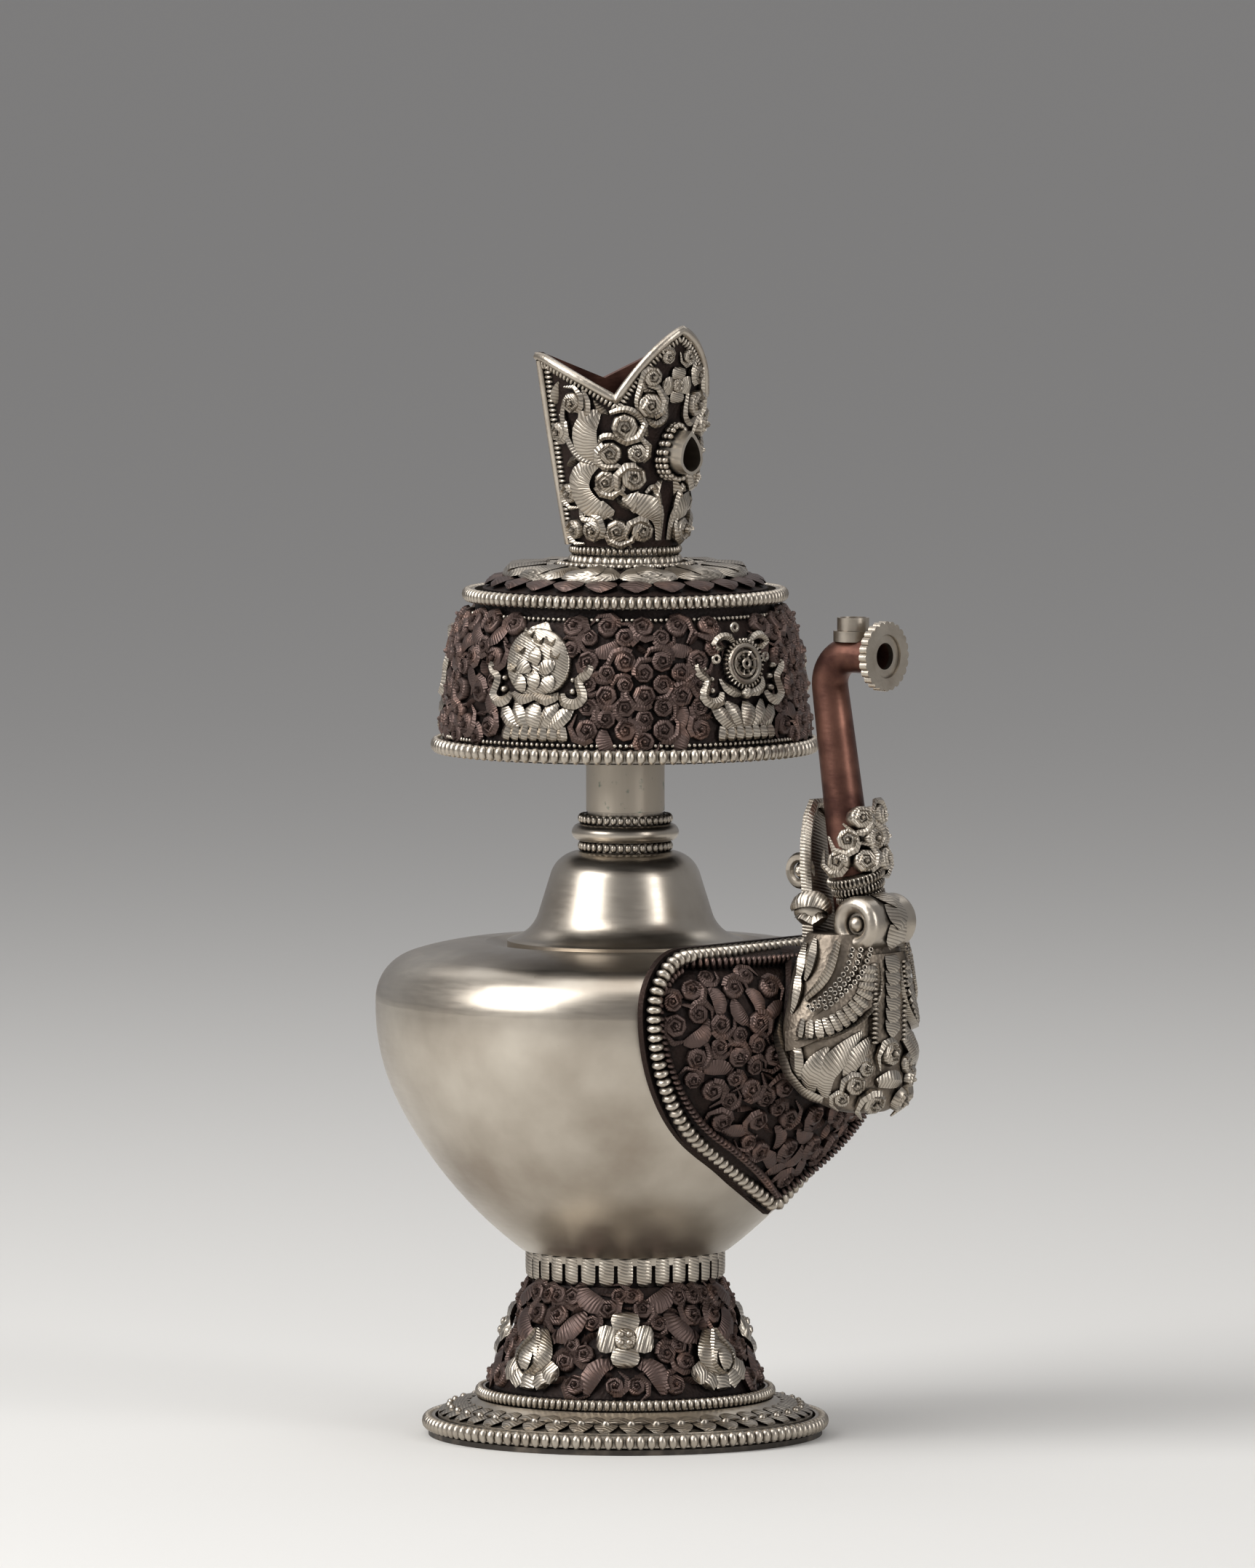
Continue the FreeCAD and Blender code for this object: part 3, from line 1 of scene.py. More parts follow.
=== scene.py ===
import math
import random

import bpy
from mathutils import Color, Matrix, Vector


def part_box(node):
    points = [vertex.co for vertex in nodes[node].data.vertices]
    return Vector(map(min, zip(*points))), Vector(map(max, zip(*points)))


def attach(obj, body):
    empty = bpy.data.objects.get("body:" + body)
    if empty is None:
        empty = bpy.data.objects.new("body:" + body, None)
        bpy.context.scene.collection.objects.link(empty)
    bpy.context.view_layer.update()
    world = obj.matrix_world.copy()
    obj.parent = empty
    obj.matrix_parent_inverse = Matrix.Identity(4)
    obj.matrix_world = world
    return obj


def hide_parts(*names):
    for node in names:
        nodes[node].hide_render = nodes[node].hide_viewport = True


bl_info = {
    "name": "Ritual water vase",
    "version": (1, 0, 0),
    "blender": (4, 5, 0),
    "location": "View3D > Sidebar > Vase",
    "description": "Dresses a turned and soldered water vase with its beads, petals and chased relief",
    "category": "Object",
}

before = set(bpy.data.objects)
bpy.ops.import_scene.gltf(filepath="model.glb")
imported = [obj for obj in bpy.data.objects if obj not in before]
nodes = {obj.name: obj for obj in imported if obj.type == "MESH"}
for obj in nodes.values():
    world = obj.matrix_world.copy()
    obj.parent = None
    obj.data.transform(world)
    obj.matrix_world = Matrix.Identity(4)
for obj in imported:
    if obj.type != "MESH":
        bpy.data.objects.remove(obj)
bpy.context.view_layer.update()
MM = 0.001
SIDES = (1, -1)
BEAD_CREASE = 75

# Directions that the lid and the foot face, in degrees from the spout.
LID_FRONT = -9.0
FOOT_FRONT = -51.0

# Materials by name, which the first operator makes and the others use.
finishes = {}


def linear(code):
    """Linear colour of an sRGB hex value."""
    parts = [int(code[index:index + 2], 16) / 255 for index in (0, 2, 4)]
    return tuple(part / 12.92 if part <= 0.04045 else ((part + 0.055) / 1.055) ** 2.4 for part in parts)


def colour(name, code, description):
    return bpy.props.FloatVectorProperty(name=name, description=description, subtype="COLOR", min=0, max=1,
                                         default=linear(code))


def count(name, amount, description):
    return bpy.props.IntProperty(name=name, description=description, default=amount, min=3)


def measure(name, size, description):
    """A length whose default is given in millimetres."""
    return bpy.props.FloatProperty(name=name, description=description, subtype="DISTANCE", unit="LENGTH",
                                   precision=5, default=size * MM, min=0.3 * MM)


class VaseColours(bpy.types.PropertyGroup):
    """Colours of the metals and of the stage."""
    silver: colour("Silver", "CEC6B9", "Clean silver on the high places")
    tarnish: colour("Tarnish", "978B7D", "Silver that has dulled")
    patina: colour("Patina", "1E1611", "Oxide left in the hollows of the silver")
    copper: colour("Oxidised copper", "594A45", "Dark relief on the lid, the plaque and the foot")
    copper_edge: colour("Copper edge", "8E7063", "Rubbed edges of the dark relief")
    ground: colour("Copper ground", "33211A", "Red-brown sheet behind the relief")
    # Painted shade: a near-black laid into the copper's hollows between the curls by ambient occlusion.
    hollow_shade: colour("Hollow", "120A08", "Shade-dark copper deep between the curls")
    tube: colour("Spout copper", "7A5548", "Copper of the spout's tube")
    tube_dark: colour("Spout shade", "452C26", "Darker stains on the spout's tube")
    dull: colour("Dull silver", "B4AA9C", "Unpolished tube under the lid")
    verdigris: colour("Verdigris", "6F7F73", "Specks of green on the dull tube")
    plate: colour("Base plate", "45403B", "Blackened plate under the foot")
    floor: colour("Floor", "D2D0CC", "Paper under the vase")


class VaseSizes(bpy.types.PropertyGroup):
    """Counts and sizes of the ornament."""
    foot_rim: count("Foot rim beads", 116, "Beads round the edge of the foot")
    foot_ring: count("Foot ring beads", 130, "Beads round the bottom of the cone")
    skirt: count("Skirt petals", 44, "Petals in each row of the foot's skirt")
    tongues: count("Collar tongues", 32, "Tongues under the vessel")
    neck: count("Neck beads", 38, "Beads in each row of the neck")
    lid_rim: count("Lid rim beads", 109, "Beads round the lower edge of the lid")
    lid_top: count("Lid top beads", 118, "Beads round the upper edge of the lid")
    lid_crown: count("Lid crown beads", 52, "Beads round the foot of the finial's ring")
    finial: count("Finial beads", 58, "Beads under the finial")
    lobes: count("Finial lobes", 40, "Lobes of the ring under the finial")
    fine: measure("Fine bead", 0.9, "Diameter of the finest beads")
    border: measure("Border pitch", 1.75, "Step of the bead border round the plaque")
    curl: bpy.props.FloatProperty(name="Curl", description="Size of the curls beside the drawn one",
                                  subtype="FACTOR", default=1.0, min=0.5, max=1.5)


# Modelling helpers. Motifs are drawn flat in millimetres, and their place scales them to metres.
def deselect():
    if bpy.context.object and bpy.context.object.mode != "OBJECT":
        bpy.ops.object.mode_set(mode="OBJECT")
    bpy.ops.object.select_all(action="DESELECT")


def settle():
    """Makes the active piece's place part of its mesh and returns it."""
    bpy.ops.object.transform_apply(location=True, rotation=True, scale=True)
    return bpy.context.object


def bead(size, segments=8, rings=6, at=(0, 0, 0)):
    """A grain: a sphere pulled to its three widths."""
    deselect()
    bpy.ops.mesh.primitive_uv_sphere_add(segments=segments, ring_count=rings, radius=0.5, location=at)
    bpy.ops.transform.resize(value=size)
    return settle()


def boss(sides, rings):
    """A low turned shape, raised from a disc through rings of (radius, height)."""
    radius, height = rings[0]
    deselect()
    bpy.ops.mesh.primitive_circle_add(vertices=sides, radius=radius, fill_type="NGON",
                                      location=(0, 0, height))
    piece = settle()
    for item in piece.data.uv_layers.active.data:
        item.uv *= 2 * radius
    bpy.ops.object.mode_set(mode="EDIT")
    bpy.ops.mesh.select_all(action="SELECT")
    for (r0, z0), (r1, z1) in zip(rings, rings[1:]):
        bpy.ops.mesh.extrude_region_move(TRANSFORM_OT_translate={"value": (0, 0, z1 - z0)})
        bpy.ops.transform.resize(value=(r1 / r0, r1 / r0, 1), center_override=(0, 0, z1))
    bpy.ops.object.mode_set(mode="OBJECT")
    return piece


def turn_by(rotation, centre):
    """Turns the selected ring about a point; the operator counts angles clockwise."""
    for axis, angle in zip("XYZ", rotation.to_euler("XYZ")):
        bpy.ops.transform.rotate(value=-angle, orient_axis=axis, center_override=centre)


def sweep(sides, width, height, stations):
    """A ridge left by a profile that moves through stations, as a chaser drives a tool.

    Each station is (point, outward, size). The UV map holds the ridge's width and length.
    """
    points = [Vector(point) for point, outward, size in stations]
    frames = []
    for index, (point, outward, size) in enumerate(stations):
        ahead = points[min(index + 1, len(points) - 1)] - points[max(index - 1, 0)]
        z = Vector(outward).normalized()
        x = ahead.cross(z).normalized()
        frames.append(Matrix((x, z.cross(x), z)).transposed())
    deselect()
    bpy.ops.mesh.primitive_circle_add(vertices=sides, radius=1, fill_type="NGON",
                                      rotation=(math.pi / 2, 0, 0))
    piece = settle()
    box = piece.dimensions.copy()
    size = stations[0][2]
    bpy.ops.object.mode_set(mode="EDIT")
    bpy.ops.mesh.select_all(action="SELECT")
    bpy.ops.transform.translate(value=(0, 0, math.cos(math.pi / sides)))
    bpy.ops.transform.resize(value=(width * size / box.x, 1, height * size / box.z),
                             center_override=(0, 0, 0))
    turn_by(frames[0], (0, 0, 0))
    bpy.ops.transform.translate(value=points[0])
    lengths = [0.0]
    for index in range(1, len(stations)):
        step = points[index] - points[index - 1]
        bpy.ops.mesh.extrude_region_move(TRANSFORM_OT_translate={"value": step})
        turn_by(frames[index] @ frames[index - 1].transposed(), points[index])
        scale = stations[index][2] / stations[index - 1][2]
        bpy.ops.transform.resize(value=(scale, scale, scale), center_override=points[index])
        lengths.append(lengths[-1] + step.length)
    bpy.ops.mesh.select_all(action="SELECT")
    bpy.ops.mesh.normals_make_consistent(inside=False)
    bpy.ops.object.mode_set(mode="OBJECT")
    chart = piece.data.uv_layers.active.data
    for loop in piece.data.loops:
        ring, side = divmod(loop.vertex_index, sides)
        across = ((sides // 2 - side) % sides) / (sides - 1)
        chart[loop.index].uv = (across * width, lengths[ring])
    return piece


def curve_through(marks, steps):
    """Points of a smooth curve through a few given marks."""
    ends = [marks[0], *marks, marks[-1]]
    line = []
    for a, b, c, d in zip(ends, ends[1:], ends[2:], ends[3:]):
        for step in range(steps):
            t = step / steps
            line.append([q + 0.5 * t * (r - p + t * (2 * p - 5 * q + 4 * r - s + t * (3 * q - p - 3 * r + s)))
                         for p, q, r, s in zip(a, b, c, d)])
    return line + [list(marks[-1])]


def stroke(sides, width, height, marks, steps=1):
    """A flat ridge through marks of (x, y, size), smoothed when there is more than one step between them."""
    line = curve_through(marks, steps)
    return sweep(sides, width, height, [((x, y, 0), (0, 0, 1), max(size, 0.05)) for x, y, size in line])


def blade(sides, width, height, marks):
    """A straight flat ridge up Y, through marks of (y, size)."""
    return stroke(sides, width, height, [(0, y, size) for y, size in marks])


def mirrored(marks, side):
    """Marks of a motif, or of its mirror image across its first measure."""
    return [(side * mark[0], *mark[1:]) for mark in marks]


def stand(point, outward, upward, turn=0.0, size=1.0):
    """A place in metres for a flat motif: its Z goes outward and its Y goes up the surface."""
    z = Vector(outward).normalized()
    x = Vector(upward).cross(z).normalized()
    basis = Matrix((x, z.cross(x), z)).transposed().to_4x4()
    spin = Matrix.Rotation(math.radians(turn), 4, "Z")
    return Matrix.Translation(Vector(point) * MM) @ basis @ spin @ Matrix.Scale(size * MM, 4)


def flat(x, y, turn=0.0, size=1.0, lift=0.0):
    """A place within a flat motif, still in millimetres."""
    spin = Matrix.Rotation(math.radians(turn), 4, "Z")
    return Matrix.Translation((x, y, lift)) @ spin @ Matrix.Scale(size, 4)


# A surface is a function that gives a point in millimetres for two measures, across and up.
def turned(profile):
    """Surface of a turned wall, for an angle and a distance up a profile of (radius, height) corners."""
    def surface(angle, distance):
        for (r0, z0), (r1, z1) in zip(profile, profile[1:]):
            run = math.hypot(r1 - r0, z1 - z0)
            if distance <= run or (r1, z1) == profile[-1]:
                break
            distance -= run
        radius = r0 + (r1 - r0) * distance / run
        side = math.radians(angle)
        return Vector((radius * math.cos(side), radius * math.sin(side), z0 + (z1 - z0) * distance / run))
    return surface


def profile_length(profile):
    return sum(math.hypot(b[0] - a[0], b[1] - a[1]) for a, b in zip(profile, profile[1:]))


def outward_at(surface, across, up):
    along = surface(across + 0.2, up) - surface(across - 0.2, up)
    return along.cross(surface(across, up + 0.2) - surface(across, up - 0.2)).normalized()


def place_on(surface, across, up, turn=0.0, size=1.0, lift=0.0):
    """A place on a surface for a flat motif, whose Y goes up."""
    outward = outward_at(surface, across, up)
    rise = surface(across, up + 0.2) - surface(across, up - 0.2)
    return stand(surface(across, up) + outward * lift, outward, rise, turn, size)


def lay(surface, sides, width, height, marks, steps=3, lift=0.0):
    """A ridge laid on a surface through marks of (across, up, size)."""
    stations = []
    for across, up, size in curve_through(marks, steps):
        outward = outward_at(surface, across, up)
        stations.append((surface(across, up) + outward * lift, outward, max(size, 0.05)))
    piece = sweep(sides, width, height, stations)
    piece.scale = (MM, MM, MM)
    return piece


def row_along(surface, marks, pitch, turn=0.0, size=1.0, lift=0.0):
    """Places at an even pitch on a curve through marks of (across, up); a motif's Y goes along the curve."""
    line = curve_through(marks, 12)
    spots = [surface(across, up) for across, up in line]
    gone = [0.0]
    for before, after in zip(spots, spots[1:]):
        gone.append(gone[-1] + (after - before).length)
    amount = max(1, round(gone[-1] / pitch))
    places = []
    index = 0
    for step in range(amount):
        goal = (step + 0.5) * gone[-1] / amount
        while gone[index + 1] < goal:
            index += 1
        share = (goal - gone[index]) / (gone[index + 1] - gone[index])
        across, up = [p + (q - p) * share for p, q in zip(line[index], line[index + 1])]
        outward = outward_at(surface, across, up)
        point = surface(across, up) + outward * lift
        places.append(stand(point, outward, spots[index + 1] - spots[index], turn, size))
    return places


def copies(motif, places):
    """Copies of a motif at several places, each with a mesh of its own."""
    result = []
    for place in places:
        twin = motif.copy()
        twin.data = motif.data.copy()
        twin.matrix_world = place @ motif.matrix_world
        bpy.context.collection.objects.link(twin)
        result.append(twin)
    return result


def discard(*pieces):
    for piece in pieces:
        bpy.data.objects.remove(piece)


def spread(motif, places):
    """Copies of a motif that isn't needed any more itself."""
    pieces = copies(motif, places)
    discard(motif)
    return pieces


def join(pieces, name):
    """One piece from several, at the origin."""
    deselect()
    for piece in pieces:
        piece.select_set(True)
    bpy.context.view_layer.objects.active = pieces[0]
    bpy.ops.object.join()
    piece = settle()
    piece.name = name
    piece.data.name = name
    return piece


def finish(pieces, name, finish_name, body, *replaced, sharp=50):
    """Joins pieces into one: outward normals, smooth shading, its finish, its body and what it replaces."""
    piece = join(pieces, name)
    bpy.ops.object.mode_set(mode="EDIT")
    bpy.ops.mesh.select_all(action="SELECT")
    bpy.ops.mesh.normals_make_consistent(inside=False)
    bpy.ops.object.mode_set(mode="OBJECT")
    bpy.ops.object.shade_smooth_by_angle(angle=math.radians(sharp))
    piece.data.materials.clear()
    piece.data.materials.append(finishes[finish_name])
    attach(piece, body)
    if replaced:
        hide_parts(*replaced)


def bead_row(radius, height, amount, size, segments=8, rings=6):
    """A full ring of grains about Z: one is shaped, then spun. Sizes are (out, along, up) in millimetres."""
    piece = bead([part * MM for part in size], segments, rings, (radius * MM, 0, height * MM))
    bpy.ops.object.mode_set(mode="EDIT")
    bpy.ops.mesh.select_all(action="SELECT")
    turn = 2 * math.pi * (amount - 1) / amount
    bpy.ops.mesh.spin(steps=amount - 1, dupli=True, angle=turn, center=(0, 0, 0), axis=(0, 0, 1))
    bpy.ops.object.mode_set(mode="OBJECT")
    return piece


def band(radius, low, high, wall):
    """A plain hoop: the strip that a row of beads is soldered to."""
    deselect()
    bpy.ops.mesh.primitive_plane_add(size=1, location=(radius * MM, 0, (low + high) / 2 * MM),
                                     rotation=(math.pi / 2, 0, 0))
    bpy.ops.transform.resize(value=(wall * MM, 1, (high - low) * MM))
    piece = settle()
    bpy.ops.object.mode_set(mode="EDIT")
    bpy.ops.mesh.select_all(action="SELECT")
    bpy.ops.mesh.delete(type="ONLY_FACE")
    bpy.ops.mesh.select_all(action="SELECT")
    bpy.ops.mesh.spin(steps=96, angle=2 * math.pi, center=(0, 0, 0), axis=(0, 0, 1))
    bpy.ops.mesh.select_all(action="SELECT")
    bpy.ops.mesh.remove_doubles(threshold=0.02 * MM)
    bpy.ops.object.mode_set(mode="OBJECT")
    return piece


def beaded_ring(node, name, amount, depth, body, fullness=0.96, core=0.55):
    """Replaces a plain ring of the frame by a hoop and a row of beads of the same size."""
    low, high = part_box(node)
    outer = high.x / MM
    bottom = low.z / MM
    top = high.z / MM
    pitch = 2 * math.pi * (outer - depth / 2) / amount
    beads = bead_row(outer - depth / 2, (bottom + top) / 2, amount, (depth, pitch * fullness, top - bottom))
    inset = 0.12 * (top - bottom)
    hoop = band(outer - depth * (1 - core / 2), bottom + inset, top - inset, depth * core)
    finish([beads, hoop], name, "beaded_silver", body, node, sharp=BEAD_CREASE)


# Motifs of the relief
def model_curl(hand):
    """A snail curl: a stem swings up to a round boss, and a fine coil on it winds in to a raised heart."""
    swing = ((-140, 3.5, 0.2), (-95, 3.1, 0.6), (-50, 2.6, 0.9), (-5, 2.05, 1.0), (40, 1.75, 0.9))
    wind = [(70 * step, 1.72 - 0.17 * step, 1.0 - 0.05 * step) for step in range(8)]
    lines = []
    for marks in (swing, wind):
        rays = [(math.radians(angle * hand), radius, size) for angle, radius, size in marks]
        lines.append([(radius * math.cos(ray), radius * math.sin(ray), size) for ray, radius, size in rays])
    stem = stroke(5, 1.6, 1.6, lines[0])
    coil = stroke(3, 0.8, 0.6, lines[1])
    coil.matrix_world = flat(0, 0, lift=1.0)
    disc = boss(8, ((2.1, 0), (2.0, 1.0), (1.7, 1.2)))
    heart = boss(4, ((0.6, 1.1), (0.45, 1.8), (0.2, 2.1)))
    return join([stem, coil, disc, heart], "curl")


def model_leaf(hand):
    """A broad hatched leaf that bends to one side and ends in a cut tip."""
    marks = ((0, -3.2, 0.3), (0.35, -2.1, 0.75), (0.45, -0.7, 1.0), (0.2, 0.8, 1.0), (-0.5, 2.0, 0.82),
             (-1.2, 2.6, 0.55), (-1.3, 2.65, 0.72), (-2.2, 3.2, 0.15))
    return stroke(5, 3.2, 1.5, mirrored(marks, hand))


def model_sprig(hand):
    """A small pointed leaf."""
    marks = ((0, -1.9, 0.35), (0.15, -0.7, 1.0), (0, 0.6, 0.9), (-0.4, 1.6, 0.5), (-0.9, 2.2, 0.12))
    return stroke(3, 1.5, 1.3, mirrored(marks, hand))


def model_petal(length, width, height, tip=0.5):
    """A lotus petal with a keel; tip is the share of the width left at its end."""
    marks = ((0, 0.55), (0.25, 0.85), (0.5, 1.0), (0.78, 0.85), (0.95, tip), (1.0, tip * 0.5))
    return blade(5, width, height, [(share * length, size) for share, size in marks])


def model_blossom():
    """A flower of four broad petals round a quartered boss, flat."""
    petal = blade(5, 5.3, 1.8, ((1.2, 0.55), (2.3, 0.88), (3.5, 1.0), (4.6, 0.88), (5.2, 0.5)))
    petals = spread(petal, [flat(0, 0, turn) for turn in (0, 90, 180, 270)])
    centre = boss(12, ((2.15, 0), (2.05, 1.4), (1.7, 1.7)))
    quarter = bead((1.45, 1.45, 1.1), 6, 4)
    quarters = spread(quarter, [flat(0.8 * x, 0.8 * y, lift=1.7) for x in SIDES for y in SIDES])
    return join(petals + [centre] + quarters, "blossom")


def lattice(rows, columns):
    """Spots of a triangular lattice, and of the gaps between them, as (is main, column, row)."""
    for row in rows:
        here = 0.5 * (row % 2)
        after = 0.5 - here
        for column in columns:
            yield True, column + here, row
            yield False, column + after, row + 1 / 3
            yield False, column + here, row + 2 / 3


def relief_field(seed, spots, size):
    """Curls at the main spots, and a mix of curls, leaves and sprigs in the gaps between them."""
    dice = random.Random(seed)
    motifs = [model_curl(1), model_curl(-1), model_leaf(1), model_leaf(-1), model_sprig(1), model_sprig(-1)]
    pieces = []
    for main, place in spots:
        weights = (1, 1, 0, 0, 0, 0) if main else (27, 27, 15, 15, 8, 8)
        motif = dice.choices(motifs, weights)[0]
        scale = size * (dice.uniform(1.0, 1.1) if main else dice.uniform(0.8, 0.96))
        pieces += copies(motif, [place @ flat(0, 0, dice.uniform(0, 360), scale)])
    discard(*motifs)
    return pieces


def scroll_of(surface, table, middle):
    """Motifs of a scroll and their mirror images, each (kind, across, up, turn, size) from a middle line."""
    kinds = {"curl": model_curl, "leaf": model_leaf, "sprig": model_sprig}
    motifs = {(kind, side): model(side) for kind, model in kinds.items() for side in SIDES}
    pieces = []
    for side in SIDES:
        for kind, across, up, turn, size in table:
            place = place_on(surface, middle + side * across, up, side * turn, size)
            pieces += copies(motifs[kind, side], [place])
    discard(*motifs.values())
    return pieces


# Foot: profiles of its cone, its skirt and the sleeve under the vessel, as (radius, height) corners
CONE = [(25.3, 9.3), (17.6, 29.4)]
SKIRT = [(35.35, 3.9), (33.3, 4.35), (31.5, 5.04), (28.0, 7.0)]
SLEEVE = [(17.15, 29.6), (17.15, 35.1)]


def build_skirt(sizes):
    """Two rows of petals that point up: bossed scales below, and hatched tips between them above."""
    plate = model_petal(4.1, 4.6, 1.2, 0.75)
    knob = bead((1.9, 1.6, 2.0), 8, 5)
    knob.matrix_world = flat(0, 2.2, lift=0.8)
    scale = join([plate, knob], "scale")
    tip = blade(5, 4.2, 1.3, ((0, 0.85), (0.8, 1.0), (1.9, 0.86), (2.9, 0.5), (3.6, 0.12)))
    step = 360 / sizes.skirt
    surface = turned(SKIRT)
    pieces = []
    for motif, shift, up in ((scale, 0.0, 0.2), (tip, 0.5, 3.3)):
        places = [place_on(surface, step * (index + shift), up) for index in range(sizes.skirt)]
        pieces += spread(motif, places)
    finish(pieces, "foot_skirt_petals", "chased_silver", "vessel")


def model_bud():
    """A closed lotus bud with a seed leaf before it, on turned-down sepals, flat."""
    body = blade(7, 9.0, 3.2, ((0.6, 0.5), (2.0, 0.8), (3.4, 0.97), (4.8, 1.0), (6.4, 0.84), (8.0, 0.55),
                               (9.4, 0.25), (10.0, 0.06)))
    seed = blade(5, 3.2, 1.5, ((1.2, 0.45), (2.4, 0.95), (3.8, 1.0), (5.0, 0.65), (5.5, 0.25)))
    seed.matrix_world = flat(0, 0, lift=2.4)
    fold = ((0.4, 0.6, 0.6), (2.3, 2.4, 1.0), (2.5, 4.4, 1.0), (1.3, 6.8, 0.9), (0.3, 9.2, 0.5))
    folds = [stroke(3, 0.8, 0.9, mirrored(fold, side), 2) for side in SIDES]
    for piece in folds:
        piece.matrix_world = flat(0, 0, lift=2.2)
    turns = ((105, -2.4), (140, -1.6), (180, 0), (220, 1.6), (255, 2.4))
    sepals = spread(model_petal(4.0, 4.4, 1.9, 0.8), [flat(shift, 2.0, turn) for turn, shift in turns])
    return join([body, seed] + folds + sepals, "bud")


FOOT_SCROLL = (
    ("leaf", 19, 18.8, -70, 1.2), ("curl", 9.5, 17.2, 20, 0.95), ("curl", 41.0, 19.4, 80, 0.95),
    ("curl", 37.5, 15.6, 200, 1.05), ("leaf", 28.5, 13.4, -150, 1.25), ("curl", 17.5, 14.4, 0, 0.8),
    ("curl", 19.5, 8.4, 140, 0.95), ("curl", 28.5, 6.7, 250, 1.0), ("leaf", 13.5, 4.2, 20, 1.2),
    ("curl", 4.6, 2.3, 60, 0.9), ("curl", 22.0, 2.4, 170, 1.0), ("curl", 26.5, 10.0, 90, 0.85),
    ("curl", 3.6, 19.8, 10, 0.8), ("curl", 31, 19.4, 120, 0.95), ("sprig", 25, 16.9, 60, 1.2),
    ("sprig", 19.0, 11.6, 40, 1.1), ("sprig", 9.0, 5.0, -60, 1.0), ("sprig", 44.0, 14.2, 10, 1.1),
    ("sprig", 30.0, 3.4, 70, 1.1),
)


def build_foot_relief():
    """Mirrored leaf scrolls between the blossoms and the buds of the cone, four times round."""
    pieces = []
    for quarter in range(4):
        pieces += scroll_of(turned(CONE), FOOT_SCROLL, FOOT_FRONT + 90 * quarter)
    finish(pieces, "foot_relief", "oxidised_copper", "vessel")


def build_foot_flowers():
    """A blossom on each side of the cone, and a lotus bud on each of its corners."""
    reach = profile_length(CONE)
    blossom = model_blossom()
    bud = model_bud()
    for index in range(4):
        for motif, label, angle, share in ((blossom, "foot_blossom", 0, 0.52), (bud, "foot_bud", 45, 0.13)):
            node = "%s_%d" % (label, index + 1)
            place = place_on(turned(CONE), FOOT_FRONT + 90 * index + angle, reach * share, 0, 1.03, 0.4)
            finish(copies(motif, [place]), node + "_chased", "chased_silver", "vessel", node)
    discard(blossom, bud)


def build_collar(sizes):
    """Hatched tongues that hang from the joint under the vessel."""
    tongue = blade(5, 2.85, 1.7, ((0, 1.0), (1.2, 1.0), (3.0, 1.0), (4.4, 0.95), (5.1, 0.62), (5.35, 0.3)))
    sleeve = turned(SLEEVE)
    step = 360 / sizes.tongues
    places = [place_on(sleeve, step * index + FOOT_FRONT, 5.2, 180) for index in range(sizes.tongues)]
    pieces = spread(tongue, places)
    pieces.append(band(17.7, 33.6, SLEEVE[1][1], 1.2))
    finish(pieces, "foot_collar_tongues", "chased_silver", "vessel", "foot_petal_collar")


# Vessel and plaque
# Arcs of the vessel's profile, from the foot up: the height of each one's end, what each millimetre of a skin
# adds to that, its centre's radius and height, and its own radius. The upright band has no centre height.
BELLY = (
    (63.0, -0.45, -28.63, 98.97, 80.0),
    (81.0, 0.0, 7.1, 81.0, 40.0),
    (82.5, 0.0, 7.1, None, 40.0),
    (91.06, 0.95, 38.1, 82.5, 9.0),
    (math.inf, 0.0, 26.36, 46.36, 47.0),
)
PLAQUE_SKIN = 1.7
PLAQUE_EDGE = 34.4

# The plaque's outline: arcs for its sides and its corners, and straight lines to its point below.
SHIELD_LEVEL = 84.0
SHIELD_POINT = 43.71
SHIELD_SLOPE = math.radians(31.0)
SIDE_MIDDLE = 5.9
SIDE_RADIUS = 31.5
CORNER_MIDDLE = 25.9
CORNER_RADIUS = 11.5


def belly_radius(height, skin):
    """Radius at a height of a skin laid on the vessel."""
    for end, lift, out, centre, radius in BELLY:
        if height < end + lift * skin:
            break
    rise = height - centre if centre else 0.0
    return out + math.sqrt(max(0.0, (radius + skin) ** 2 - rise ** 2))


def plaque_surface(across, height):
    """The plaque's field, which follows the belly and is flat at its edge."""
    radius = belly_radius(height, PLAQUE_SKIN)
    return Vector((max(math.sqrt(max(0.0, radius ** 2 - across ** 2)), PLAQUE_EDGE), across, height))


def shield_walk(inset, pitch):
    """Steps along half of the plaque's outline, as (across, height, heading), drawn in by an inset."""
    side = SIDE_RADIUS - inset
    corner = CORNER_RADIUS - inset
    turn_across = SIDE_MIDDLE + side * math.sin(SHIELD_SLOPE)
    turn_up = SHIELD_LEVEL - side * math.cos(SHIELD_SLOPE)
    straight = turn_across / math.cos(SHIELD_SLOPE)
    runs = (straight, side * (math.pi / 2 - SHIELD_SLOPE), corner * math.pi / 2, CORNER_MIDDLE)
    total = sum(runs)
    amount = round(total / pitch)
    for index in range(amount):
        gone = (index + 0.5) * total / amount
        if gone < runs[0]:
            height = turn_up - turn_across * math.tan(SHIELD_SLOPE) + gone * math.sin(SHIELD_SLOPE)
            yield gone * math.cos(SHIELD_SLOPE), height, SHIELD_SLOPE
        elif gone < runs[0] + runs[1]:
            angle = SHIELD_SLOPE + (gone - runs[0]) / side
            yield SIDE_MIDDLE + side * math.sin(angle), SHIELD_LEVEL - side * math.cos(angle), angle
        elif gone < total - runs[3]:
            angle = (gone - runs[0] - runs[1]) / corner
            across = CORNER_MIDDLE + corner * math.cos(angle)
            yield across, SHIELD_LEVEL + corner * math.sin(angle), angle + math.pi / 2
        else:
            yield total - gone, SHIELD_LEVEL + corner, math.pi


